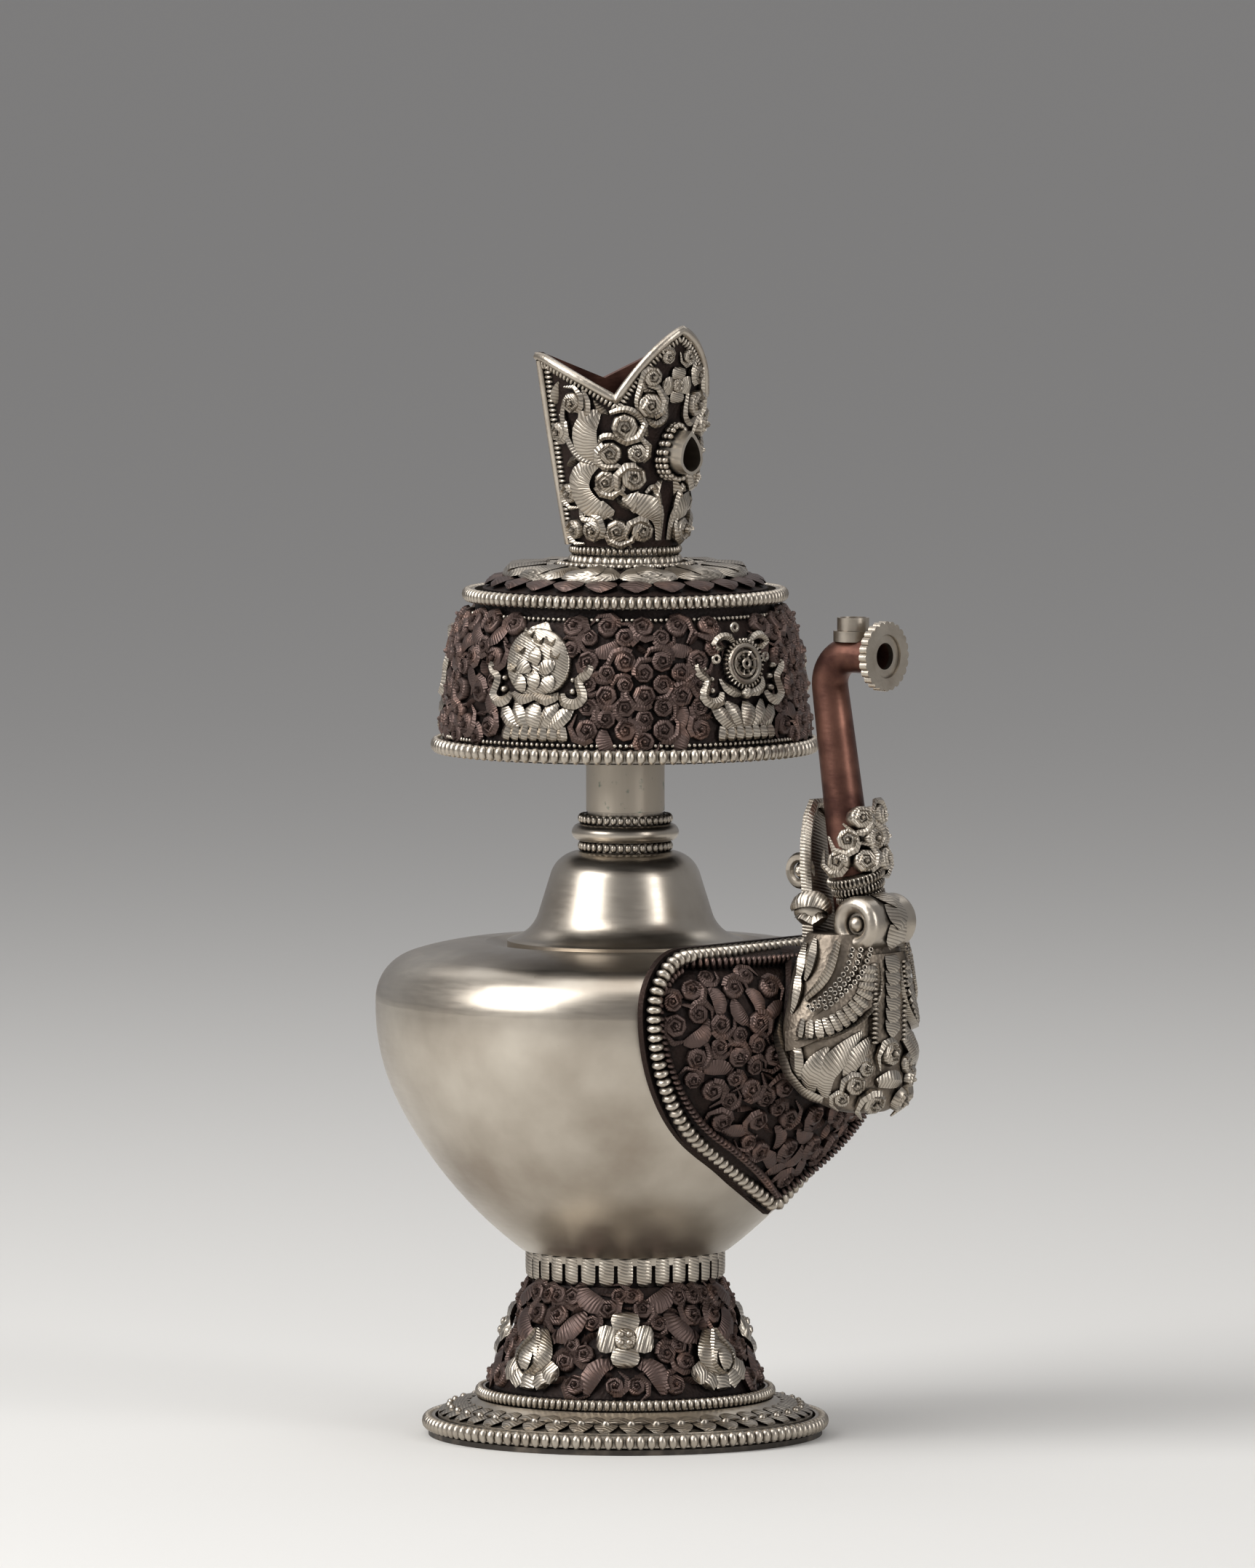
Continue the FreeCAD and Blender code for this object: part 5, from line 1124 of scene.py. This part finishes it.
def build_mane():
    """Blades of the mane, and the spirals under the chin."""
    spirals = ((38, 70.4, 1.0), (22, 67.2, 1.2), (25, 73.2, 0.8), (58, 67.8, 0.75))
    middle = (0, 75.6, 1.15)
    pieces = []
    for side in SIDES:
        pieces += [lay(head_surface, 5, width, 1.9, mirrored(marks, side), 3) for width, marks in MANE]
        rows = spirals if side > 0 else (middle, *spirals)
        pieces += spread(model_curl(side), [place_on(head_surface, side * angle, height, 90, size, 0.2)
                                            for angle, height, size in rows])
    knot = ((-16, 70.4, 0.5), (-5, 71.0, 1.0), (6, 70.8, 0.9), (16, 70.0, 0.4))
    pieces.append(lay(head_surface, 5, 3.4, 2.2, knot, 2, 0.2))
    finish(pieces, "makara_mane", "chased_silver", "vessel")


def eye_surface(side):
    """Skin of one eyeball, for an angle about the upright and a height above its middle."""
    def surface(angle, height):
        radius = math.sqrt(max(0.01, EYE_RADIUS ** 2 - height ** 2))
        turn = math.radians(angle)
        across = side * EYE_MIDDLE.y + radius * math.sin(turn)
        return Vector((EYE_MIDDLE.x + radius * math.cos(turn), across, EYE_MIDDLE.z + height))
    return surface


def jaw_face(height):
    """How far out the face of the upright jaw lies at a height: it leans with the tube above its bend."""
    return JAW_FRONT - TUBE_LEAN * max(0.0, height - JAW_BEND)


def build_jaw():
    """The upright jaw behind the tube: a hatched tongue in a rim, a scroll on its back and two eyes."""
    def spot(across, height, set_back):
        return (jaw_face(height) - set_back, across, height), (1, 0, 0.1)

    tongue = ((97.0, 1.0), (104.0, 1.0), (110.0, 0.94), (115.0, 0.76), (119.0, 0.5), (121.4, 0.2))
    pieces = [sweep(5, 13.0, 1.6, [(*spot(0, height, 2.0), size) for height, size in tongue])]
    half = ((6.3, 97.0), (6.3, 104.0), (5.9, 110.0), (4.8, 115.0), (3.2, 119.0), (1.2, 121.5))
    outline = mirrored(half, -1) + list(reversed(half))
    pieces.append(sweep(6, 2.0, 2.3, [(*spot(across, height, 2.3), 1.0) for across, height in outline]))
    pieces.append(bead((5.4, 9.4, 5.4), 14, 8, ROLL_MIDDLE))
    for side in SIDES:
        eye = (EYE_MIDDLE.x, side * EYE_MIDDLE.y, EYE_MIDDLE.z)
        pieces.append(bead([2 * EYE_RADIUS] * 3, 16, 10, eye))
    for piece in pieces:
        piece.matrix_world = Matrix.Scale(MM, 4)
    heart = boss(10, ((1.1, -1.0), (1.0, 0.6), (0.5, 1.0)))
    scroll = join([wire_ring(2.5, 0.95, 0, 0, 0), heart], "scroll")
    pieces += spread(scroll, [stand((ROLL_MIDDLE[0], side * 4.2, ROLL_MIDDLE[2]), (0, side, 0), (0, 0, 1))
                              for side in SIDES])
    finish(pieces, "makara_jaw_chased", "chased_silver", "vessel", "makara_jaw")


def build_eyes():
    """Heavy brows over the eyes, and a folded lid under each."""
    brow = ((-15.0, -0.7, 0.4), (12.0, 0.8, 0.9), (45.0, 1.6, 1.1), (85.0, 1.4, 1.0), (130.0, 0.0, 0.4))
    lid = ((0.0, -1.2, 0.5), (28.0, -1.1, 1.0), (52.0, -2.0, 1.0), (78.0, -1.2, 1.0), (112.0, -1.4, 0.5))
    pieces = []
    for side in SIDES:
        surface = eye_surface(side)
        pieces.append(lay(surface, 5, 2.9, 1.6, mirrored(brow, side), 3))
        pieces.append(lay(surface, 3, 1.3, 1.2, mirrored(lid, side), 2))
    finish(pieces, "makara_brows", "chased_silver", "vessel")


def bunch_surface(angle, height):
    """The skin of the flower bunch before the tube's foot."""
    side = math.radians(angle)
    middle = BUNCH_FOOT[0] - TUBE_LEAN * (height - BUNCH_FOOT[1])
    return Vector((middle + BUNCH_RADIUS * math.cos(side), BUNCH_RADIUS * math.sin(side), height))


def build_flowers():
    """A bunch of spiral flowers in a tilted cup of three ribbed bands."""
    pieces = []
    blooms = ((119.6, (-28, 26)), (115.6, (-56, -4, 48)), (111.6, (-78, -30, 22, 72)))
    for height, angles in blooms:
        for index, angle in enumerate(angles):
            core = bead((3.9, 3.9, 5.0), 9, 6)
            core.matrix_world = flat(0, 0, lift=-1.2)
            bloom = join([model_curl(SIDES[index % 2]), core], "bloom")
            pieces += spread(bloom, [place_on(bunch_surface, angle, height, angle, 1.08, 0.3)])
    tilt = Matrix.Rotation(math.radians(14), 4, "X") @ Matrix.Rotation(math.radians(-6), 4, "Y")
    seat = Matrix.Translation(CUP_FOOT * MM) @ tilt
    cup = boss(24, ((3.3, 0), (4.3, 1.8), (4.7, 3.6), (5.0, 5.4), (4.0, 5.5)))
    cup.matrix_world = seat @ Matrix.Scale(MM, 4)
    for radius, height in ((4.2, 1.0), (4.6, 2.8), (5.0, 4.6)):
        ribs = bead_row(radius, height, 40, (1.3, 0.66, 1.8), 6, 5)
        ribs.matrix_world = seat
        pieces.append(ribs)
    finish(pieces + [cup], "makara_blooms", "chased_silver", "vessel", "makara_flowers")


# Finishes
# The mix node has inputs and outputs for each kind of data; these are the numbers of those for colours.
SHARE = 0
LOW = 6
HIGH = 7
MIXED = 2


def fill(tree, node, inputs):
    """Gives a node's inputs plain values, colours, or links to other nodes' outputs."""
    for name, value in inputs.items():
        if isinstance(value, bpy.types.NodeSocket):
            tree.links.new(value, node.inputs[name])
        elif isinstance(value, Color):
            node.inputs[name].default_value = (*value, 1)
        else:
            node.inputs[name].default_value = value


def add(tree, kind, output, inputs, **options):
    """Adds one shader node, sets its options, fills its inputs and returns one of its outputs."""
    node = tree.nodes.new("ShaderNode" + kind)
    for name, value in options.items():
        setattr(node, name, value)
    fill(tree, node, inputs)
    return node.outputs[output]


def new_finish(name, metallic, roughness):
    """A plain material: itself, its node tree, its shader and its place in object space."""
    material = bpy.data.materials.new(name)
    material.use_nodes = True
    tree = material.node_tree
    shader = tree.nodes["Principled BSDF"]
    fill(tree, shader, {"Metallic": metallic, "Roughness": roughness})
    return material, tree, shader, add(tree, "TexCoord", "Object", {})


def scale_for(size):
    """Scale of a pattern whose features have a size in millimetres."""
    return 1 / (size * MM)


def hatching(tree, spot, pitch, slant):
    """Lines cut across a leaf, at a pitch in millimetres along its own map."""
    across = add(tree, "SeparateXYZ", "X", {0: spot.node.outputs["UV"]})
    along = across.node.outputs["Y"]
    drift = add(tree, "Math", 0, {0: across, 1: slant, 2: along}, operation="MULTIPLY_ADD")
    phase = add(tree, "Math", 0, {0: drift, 1: 2 * math.pi / pitch}, operation="MULTIPLY")
    return add(tree, "Math", 0, {0: phase}, operation="SINE")


def burnished_silver(colours):
    """Spun, planished and burnished silver: soft reflections, faint dents and a warm film of tarnish."""
    material, tree, shader, spot = new_finish("Burnished_silver", 1.0, 0.3)
    film = add(tree, "TexNoise", "Fac", {"Vector": spot, "Scale": scale_for(26), "Detail": 5.0})
    film = add(tree, "MapRange", "Result", {"Value": film, "From Min": 0.3, "From Max": 0.7})
    tint = add(tree, "Mix", MIXED, {SHARE: film, LOW: colours.silver, HIGH: colours.tarnish},
               data_type="RGBA")
    # Burnishing strokes run round the vessel, about half a millimetre apart.
    stretch = add(tree, "Mapping", "Vector", {"Vector": spot, "Scale": (0.12, 0.12, 1.0)})
    strokes = add(tree, "TexNoise", "Fac", {"Vector": stretch, "Scale": scale_for(0.6), "Detail": 3.0})
    gloss = add(tree, "MapRange", "Result", {"Value": strokes, "To Min": 0.24, "To Max": 0.4})
    dents = add(tree, "TexNoise", "Fac", {"Vector": spot, "Scale": scale_for(11), "Detail": 1.0})
    both = add(tree, "Math", 0, {0: strokes, 1: 0.04, 2: dents}, operation="MULTIPLY_ADD")
    bumps = add(tree, "Bump", "Normal", {"Strength": 0.4, "Distance": 0.25 * MM, "Height": both})
    fill(tree, shader, {"Base Color": tint, "Roughness": gloss, "Normal": bumps})
    return material


def relief_silver(name, colours, hatched):
    """Chased silver: bright on the high places, black-brown oxide in the hollows, and hatched leaves."""
    material, tree, shader, spot = new_finish(name, 1.0, 0.34)
    clear = add(tree, "AmbientOcclusion", "AO", {"Distance": 1.2 * MM}, samples=8)
    clear = add(tree, "MapRange", "Result", {"Value": clear, "From Min": 0.3, "From Max": 0.72})
    film = add(tree, "TexNoise", "Fac", {"Vector": spot, "Scale": scale_for(5), "Detail": 4.0})
    skin = add(tree, "Mix", MIXED, {SHARE: film, LOW: colours.silver, HIGH: colours.tarnish},
               data_type="RGBA")
    height = add(tree, "TexNoise", "Fac", {"Vector": spot, "Scale": scale_for(0.9), "Detail": 2.0})
    if hatched:
        # Drawn a little coarser than the real lines, so that it shows.
        lines = hatching(tree, spot, 0.62, 0.5)
        dark = add(tree, "MapRange", "Result", {"Value": lines, "From Min": 0.2, "To Max": 0.5})
        skin = add(tree, "Mix", MIXED, {SHARE: dark, LOW: skin, HIGH: colours.patina}, data_type="RGBA")
        height = add(tree, "Math", 0, {0: lines, 1: -0.4, 2: height}, operation="MULTIPLY_ADD")
    tint = add(tree, "Mix", MIXED, {SHARE: clear, LOW: colours.patina, HIGH: skin}, data_type="RGBA")
    gloss = add(tree, "MapRange", "Result", {"Value": clear, "To Min": 0.62, "To Max": 0.34})
    bumps = add(tree, "Bump", "Normal", {"Strength": 0.5, "Distance": 0.12 * MM, "Height": height})
    fill(tree, shader, {"Base Color": tint, "Roughness": gloss, "Normal": bumps})
    return material


def matted_silver(colours):
    """Silver matted with a punch as a ground for the chasing: grey, dull and stippled."""
    material, tree, shader, spot = new_finish("Matted_silver", 1.0, 0.48)
    punch = add(tree, "TexVoronoi", "Distance", {"Vector": spot, "Scale": scale_for(0.8)})
    worn = add(tree, "TexNoise", "Fac", {"Vector": spot, "Scale": scale_for(4), "Detail": 4.0})
    worn = add(tree, "MapRange", "Result", {"Value": worn, "From Min": 0.35, "From Max": 0.7,
                                            "To Min": 0.15, "To Max": 0.6})
    skin = add(tree, "Mix", MIXED, {SHARE: worn, LOW: colours.tarnish, HIGH: colours.patina},
               data_type="RGBA")
    clear = add(tree, "AmbientOcclusion", "AO", {"Distance": 1.2 * MM}, samples=8)
    clear = add(tree, "MapRange", "Result", {"Value": clear, "From Min": 0.3, "From Max": 0.8})
    tint = add(tree, "Mix", MIXED, {SHARE: clear, LOW: colours.patina, HIGH: skin}, data_type="RGBA")
    bumps = add(tree, "Bump", "Normal", {"Strength": 0.5, "Distance": 0.2 * MM, "Height": punch})
    fill(tree, shader, {"Base Color": tint, "Normal": bumps})
    return material


def oxidised_copper(colours):
    """Copper blackened with liver of sulphur: plum-grey, rubbed lighter on top, with near-black painted shade
    in the hollows.
    """
    material, tree, shader, spot = new_finish("Oxidised_copper", 0.85, 0.45)
    film = add(tree, "TexNoise", "Fac", {"Vector": spot, "Scale": scale_for(4), "Detail": 4.0})
    worn = add(tree, "MapRange", "Result", {"Value": film, "From Min": 0.52, "From Max": 0.85,
                                            "To Max": 0.75})
    skin = add(tree, "Mix", MIXED, {SHARE: worn, LOW: colours.copper, HIGH: colours.copper_edge},
               data_type="RGBA")
    # Painted shade: ambient occlusion darkens the relief's hollows towards the near-black shade colour.
    clear = add(tree, "AmbientOcclusion", "AO", {"Distance": 1.5 * MM}, samples=8)
    clear = add(tree, "MapRange", "Result", {"Value": clear, "From Min": 0.25, "From Max": 0.7})
    tint = add(tree, "Mix", MIXED, {SHARE: clear, LOW: colours.hollow_shade, HIGH: skin}, data_type="RGBA")
    gloss = add(tree, "MapRange", "Result", {"Value": film, "To Min": 0.5, "To Max": 0.34})
    lines = hatching(tree, spot, 0.55, 0.4)
    bumps = add(tree, "Bump", "Normal", {"Strength": 0.45, "Distance": 0.08 * MM, "Height": lines})
    fill(tree, shader, {"Base Color": tint, "Roughness": gloss, "Normal": bumps})
    return material


def copper_ground(colours):
    """Matted copper sheet behind the relief: red-brown, dull and stippled, with near-black painted shade
    between the curls.
    """
    material, tree, shader, spot = new_finish("Matted_copper", 0.7, 0.6)
    film = add(tree, "TexNoise", "Fac", {"Vector": spot, "Scale": scale_for(6), "Detail": 5.0})
    sheet = add(tree, "Mix", MIXED, {SHARE: film, LOW: colours.ground, HIGH: colours.patina},
                data_type="RGBA")
    # Painted shade: ambient occlusion darkens the sheet near the curls towards the near-black shade colour.
    clear = add(tree, "AmbientOcclusion", "AO", {"Distance": 3.0 * MM}, samples=8)
    clear = add(tree, "MapRange", "Result", {"Value": clear, "From Min": 0.45, "From Max": 0.95})
    tint = add(tree, "Mix", MIXED, {SHARE: clear, LOW: colours.hollow_shade, HIGH: sheet}, data_type="RGBA")
    punch = add(tree, "TexVoronoi", "Distance", {"Vector": spot, "Scale": scale_for(0.7)})
    bumps = add(tree, "Bump", "Normal", {"Strength": 0.6, "Distance": 0.2 * MM, "Height": punch})
    fill(tree, shader, {"Base Color": tint, "Normal": bumps})
    return material


def spout_copper(colours):
    """Drawn copper tube, filed and browned: satin, with fine file strokes round it and darker stains."""
    material, tree, shader, spot = new_finish("Browned_copper", 0.9, 0.42)
    stain = add(tree, "TexNoise", "Fac", {"Vector": spot, "Scale": scale_for(7), "Detail": 6.0})
    clean = add(tree, "MapRange", "Result", {"Value": stain, "From Min": 0.36, "From Max": 0.66})
    tint = add(tree, "Mix", MIXED, {SHARE: clean, LOW: colours.tube_dark, HIGH: colours.tube},
               data_type="RGBA")
    gloss = add(tree, "MapRange", "Result", {"Value": stain, "To Min": 0.52, "To Max": 0.34})
    stretch = add(tree, "Mapping", "Vector", {"Vector": spot, "Scale": (0.25, 0.25, 1.0)})
    strokes = add(tree, "TexNoise", "Fac", {"Vector": stretch, "Scale": scale_for(0.7), "Detail": 2.0})
    bumps = add(tree, "Bump", "Normal", {"Strength": 0.45, "Distance": 0.1 * MM, "Height": strokes})
    fill(tree, shader, {"Base Color": tint, "Roughness": gloss, "Normal": bumps})
    return material


def dull_silver(colours):
    """Silver left from the draw plate: satin, with lengthwise streaks and specks of green-black corrosion."""
    material, tree, shader, spot = new_finish("Drawn_silver", 1.0, 0.42)
    specks = add(tree, "TexNoise", "Fac", {"Vector": spot, "Scale": scale_for(2.4), "Detail": 5.0})
    specks = add(tree, "MapRange", "Result", {"Value": specks, "From Min": 0.62, "From Max": 0.7})
    tint = add(tree, "Mix", MIXED, {SHARE: specks, LOW: colours.dull, HIGH: colours.verdigris},
               data_type="RGBA")
    stretch = add(tree, "Mapping", "Vector", {"Vector": spot, "Scale": (1.0, 1.0, 0.1)})
    streaks = add(tree, "TexNoise", "Fac", {"Vector": stretch, "Scale": scale_for(0.8), "Detail": 2.0})
    gloss = add(tree, "MapRange", "Result", {"Value": streaks, "To Min": 0.32, "To Max": 0.5})
    fill(tree, shader, {"Base Color": tint, "Roughness": gloss})
    return material


def blackened_plate(colours):
    """Sheet metal blackened by handling and the table: dark, dull, with worn patches."""
    material, tree, shader, spot = new_finish("Blackened_plate", 0.8, 0.55)
    wear = add(tree, "TexNoise", "Fac", {"Vector": spot, "Scale": scale_for(5), "Detail": 5.0})
    wear = add(tree, "MapRange", "Result", {"Value": wear, "From Min": 0.5, "From Max": 0.75, "To Max": 0.5})
    tint = add(tree, "Mix", MIXED, {SHARE: wear, LOW: colours.plate, HIGH: colours.tarnish}, data_type="RGBA")
    fill(tree, shader, {"Base Color": tint})
    return material


def matt_paper(colours):
    """Matt photographer's paper: one pale grey, with a faint tooth."""
    material, tree, shader, spot = new_finish("Matt_paper", 0.0, 0.85)
    tooth = add(tree, "TexNoise", "Fac", {"Vector": spot, "Scale": scale_for(1.5), "Detail": 2.0})
    bumps = add(tree, "Bump", "Normal", {"Strength": 0.05, "Distance": 0.1 * MM, "Height": tooth})
    fill(tree, shader, {"Base Color": colours.floor, "Normal": bumps})
    return material


FINISH_OF_NODE = {
    "burnished_silver": ("vessel_body", "shoulder_bell", "neck_ring", "finial_bezel", "spout_bezel",
                         "bezel_collar"),
    "copper_ground": ("foot_cone", "lid_wall", "lid_top_plate", "spout_plaque", "finial_front", "lid_sleeve",
                      "spout_root", "spout_frill"),
    "spout_copper": ("spout_tube",),
    "matted_silver": ("makara_head",),
    "dull_silver": ("plug_tube",),
    "blackened_plate": ("foot_base",),
}


class VASE_OT_finishes(bpy.types.Operator):
    """Makes the metals and gives them to the turned and soldered parts"""
    bl_idname = "vase.finishes"
    bl_label = "Finishes"

    def execute(self, context):
        colours = context.scene.vase_colours
        finishes["burnished_silver"] = burnished_silver(colours)
        finishes["chased_silver"] = relief_silver("Chased_silver", colours, True)
        finishes["beaded_silver"] = relief_silver("Beaded_silver", colours, False)
        finishes["matted_silver"] = matted_silver(colours)
        finishes["oxidised_copper"] = oxidised_copper(colours)
        finishes["copper_ground"] = copper_ground(colours)
        finishes["spout_copper"] = spout_copper(colours)
        finishes["dull_silver"] = dull_silver(colours)
        finishes["blackened_plate"] = blackened_plate(colours)
        for node in nodes.values():
            node.data.materials.clear()
            node.data.materials.append(finishes["chased_silver"])
        for finish_name, names in FINISH_OF_NODE.items():
            for name in names:
                nodes[name].data.materials[0] = finishes[finish_name]
        return {"FINISHED"}


class VASE_OT_foot(bpy.types.Operator):
    """Beads, petals, scrolls, blossoms and buds of the foot"""
    bl_idname = "vase.foot"
    bl_label = "Foot"

    def execute(self, context):
        sizes = context.scene.vase_sizes
        beaded_ring("foot_rim_beads", "foot_rim_grains", sizes.foot_rim, 2.5, "vessel")
        beaded_ring("foot_ring_beads", "foot_ring_grains", sizes.foot_ring, 1.9, "vessel")
        build_skirt(sizes)
        build_collar(sizes)
        build_foot_relief()
        build_foot_flowers()
        return {"FINISHED"}


class VASE_OT_plaque(bpy.types.Operator):
    """Bead border, rope border and relief of the plaque"""
    bl_idname = "vase.plaque"
    bl_label = "Plaque"

    def execute(self, context):
        build_border(context.scene.vase_sizes)
        build_plaque_relief(context.scene.vase_sizes)
        return {"FINISHED"}


class VASE_OT_spout(bpy.types.Operator):
    """Face, mane, jaw, eyes and flowers of the sea monster that holds the spout"""
    bl_idname = "vase.spout"
    bl_label = "Spout"

    def execute(self, context):
        build_face()
        build_mane()
        build_jaw()
        build_eyes()
        build_flowers()
        return {"FINISHED"}


class VASE_OT_neck(bpy.types.Operator):
    """Bead rows of the neck"""
    bl_idname = "vase.neck"
    bl_label = "Neck"

    def execute(self, context):
        sizes = context.scene.vase_sizes
        beaded_ring("neck_lower_beads", "neck_lower_grains", sizes.neck, 1.5, "vessel")
        beaded_ring("neck_upper_beads", "neck_upper_grains", sizes.neck, 1.5, "vessel")
        return {"FINISHED"}


class VASE_OT_lid(bpy.types.Operator):
    """Bead rims, relief, emblems and petals of the lid"""
    bl_idname = "vase.lid"
    bl_label = "Lid"

    def execute(self, context):
        sizes = context.scene.vase_sizes
        beaded_ring("lid_rim_beads", "lid_rim_grains", sizes.lid_rim, 2.4, "lid")
        beaded_ring("lid_top_beads", "lid_top_grains", sizes.lid_top, 2.4, "lid")
        beaded_ring("lid_crown_beads", "lid_crown_grains", sizes.lid_crown, 1.4, "lid")
        build_lid_rows(sizes)
        build_lid_relief(sizes)
        build_emblems()
        build_lid_top()
        return {"FINISHED"}


class VASE_OT_finial(bpy.types.Operator):
    """Beads, scroll, border, back plate and setting of the finial"""
    bl_idname = "vase.finial"
    bl_label = "Finial"

    def execute(self, context):
        sizes = context.scene.vase_sizes
        beaded_ring("finial_beads", "finial_grains", sizes.finial, 1.5, "lid")
        beaded_ring("finial_ring", "finial_lobes", sizes.lobes, 1.7, "lid", fullness=1.3)
        build_finial_scroll()
        build_finial_border()
        build_finial_back()
        build_jewel_collar()
        return {"FINISHED"}


# Stage: angles in degrees, distances in metres, the lens and its sensor in millimetres
CAMERA_AZIMUTH = 39.0
CAMERA_RISE = 4.3
CAMERA_DISTANCE = 3.0
CAMERA_AIM = 0.123
CAMERA_SHIFT = 0.41 * MM
CAMERA_LENS = 365.5
CAMERA_SENSOR = 36.0
PAPER_RADIUS = 30.0
PANEL_AIM = 0.11
ROOM_LIGHT = (0.3, 0.3, 0.31, 1)

# Name, angle from the camera's side, rise, distance, width, height and watts of each soft panel.
PANELS = (
    ("key_panel", -58, 36, 1.1, 0.7, 0.9, 13.5),
    ("fill_panel", 50, 20, 1.5, 0.35, 1.0, 7),
    ("top_panel", 0, 80, 1.1, 0.8, 0.8, 3.5),
    ("back_panel", 180, 55, 1.0, 1.4, 0.5, 2),
)


def direction(azimuth, elevation):
    """Unit vector from the vase towards a camera or a lamp."""
    side = math.radians(azimuth)
    rise = math.radians(elevation)
    return Vector((math.sin(side) * math.cos(rise), -math.cos(side) * math.cos(rise), math.sin(rise)))


def build_panel(name, turn, elevation, distance, width, height, watts):
    """A soft panel that faces the middle of the vase."""
    away = direction(CAMERA_AZIMUTH + turn, elevation)
    lamp = bpy.data.lights.new(name, "AREA")
    lamp.shape = "RECTANGLE"
    lamp.size = width
    lamp.size_y = height
    lamp.energy = watts
    panel = bpy.data.objects.new(name, lamp)
    panel.location = Vector((0, 0, PANEL_AIM)) + away * distance
    panel.rotation_euler = away.to_track_quat("Z", "Y").to_euler()
    bpy.context.collection.objects.link(panel)


def build_paper(colours):
    """A round sheet of paper under the vase, wide enough to fill the picture from every side."""
    deselect()
    bpy.ops.mesh.primitive_circle_add(vertices=96, radius=PAPER_RADIUS, fill_type="NGON")
    paper = settle()
    paper.name = "paper_floor"
    paper.data.materials.append(matt_paper(colours))


def build_camera(scene):
    """A long lens before the vase, with room behind it for the paper."""
    away = direction(CAMERA_AZIMUTH, CAMERA_RISE)
    right = direction(CAMERA_AZIMUTH + 90, 0)
    lens = bpy.data.cameras.new("Camera")
    lens.lens = CAMERA_LENS
    lens.sensor_width = CAMERA_SENSOR
    lens.clip_end = 2 * PAPER_RADIUS
    camera = bpy.data.objects.new("Camera", lens)
    camera.location = Vector((0, 0, CAMERA_AIM)) + right * CAMERA_SHIFT + away * CAMERA_DISTANCE
    camera.rotation_euler = away.to_track_quat("Z", "Y").to_euler()
    bpy.context.collection.objects.link(camera)
    scene.camera = camera


class VASE_OT_stage(bpy.types.Operator):
    """Paper floor, soft panels and the camera"""
    bl_idname = "vase.stage"
    bl_label = "Stage"

    def execute(self, context):
        scene = context.scene
        build_paper(scene.vase_colours)
        for panel in PANELS:
            build_panel(*panel)
        build_camera(scene)
        scene.world = bpy.data.worlds.new("Studio")
        scene.world.use_nodes = True
        scene.world.node_tree.nodes["Background"].inputs["Color"].default_value = ROOM_LIGHT
        scene.view_settings.view_transform = "Standard"
        return {"FINISHED"}


class VASE_PT_panel(bpy.types.Panel):
    """Lists the vase's pieces, sizes and colours"""
    bl_idname = "VASE_PT_panel"
    bl_label = "Water vase"
    bl_space_type = "VIEW_3D"
    bl_region_type = "UI"
    bl_category = "Vase"

    def draw(self, context):
        for step in STEPS:
            self.layout.operator(step.bl_idname)
        for group in (context.scene.vase_sizes, context.scene.vase_colours):
            for name in group.__annotations__:
                self.layout.prop(group, name)


STEPS = (VASE_OT_finishes, VASE_OT_foot, VASE_OT_plaque, VASE_OT_spout, VASE_OT_neck, VASE_OT_lid,
         VASE_OT_finial, VASE_OT_stage)
CLASSES = (VaseColours, VaseSizes) + STEPS + (VASE_PT_panel,)


def register():
    for item in CLASSES:
        bpy.utils.register_class(item)
    bpy.types.Scene.vase_colours = bpy.props.PointerProperty(type=VaseColours)
    bpy.types.Scene.vase_sizes = bpy.props.PointerProperty(type=VaseSizes)


def unregister():
    del bpy.types.Scene.vase_sizes
    del bpy.types.Scene.vase_colours
    for item in reversed(CLASSES):
        bpy.utils.unregister_class(item)


def main():
    register()
    bpy.ops.vase.finishes()
    bpy.ops.vase.foot()
    bpy.ops.vase.plaque()
    bpy.ops.vase.spout()
    bpy.ops.vase.neck()
    bpy.ops.vase.lid()
    bpy.ops.vase.finial()
    bpy.ops.vase.stage()
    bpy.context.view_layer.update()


if __name__ == "__main__":
    main()
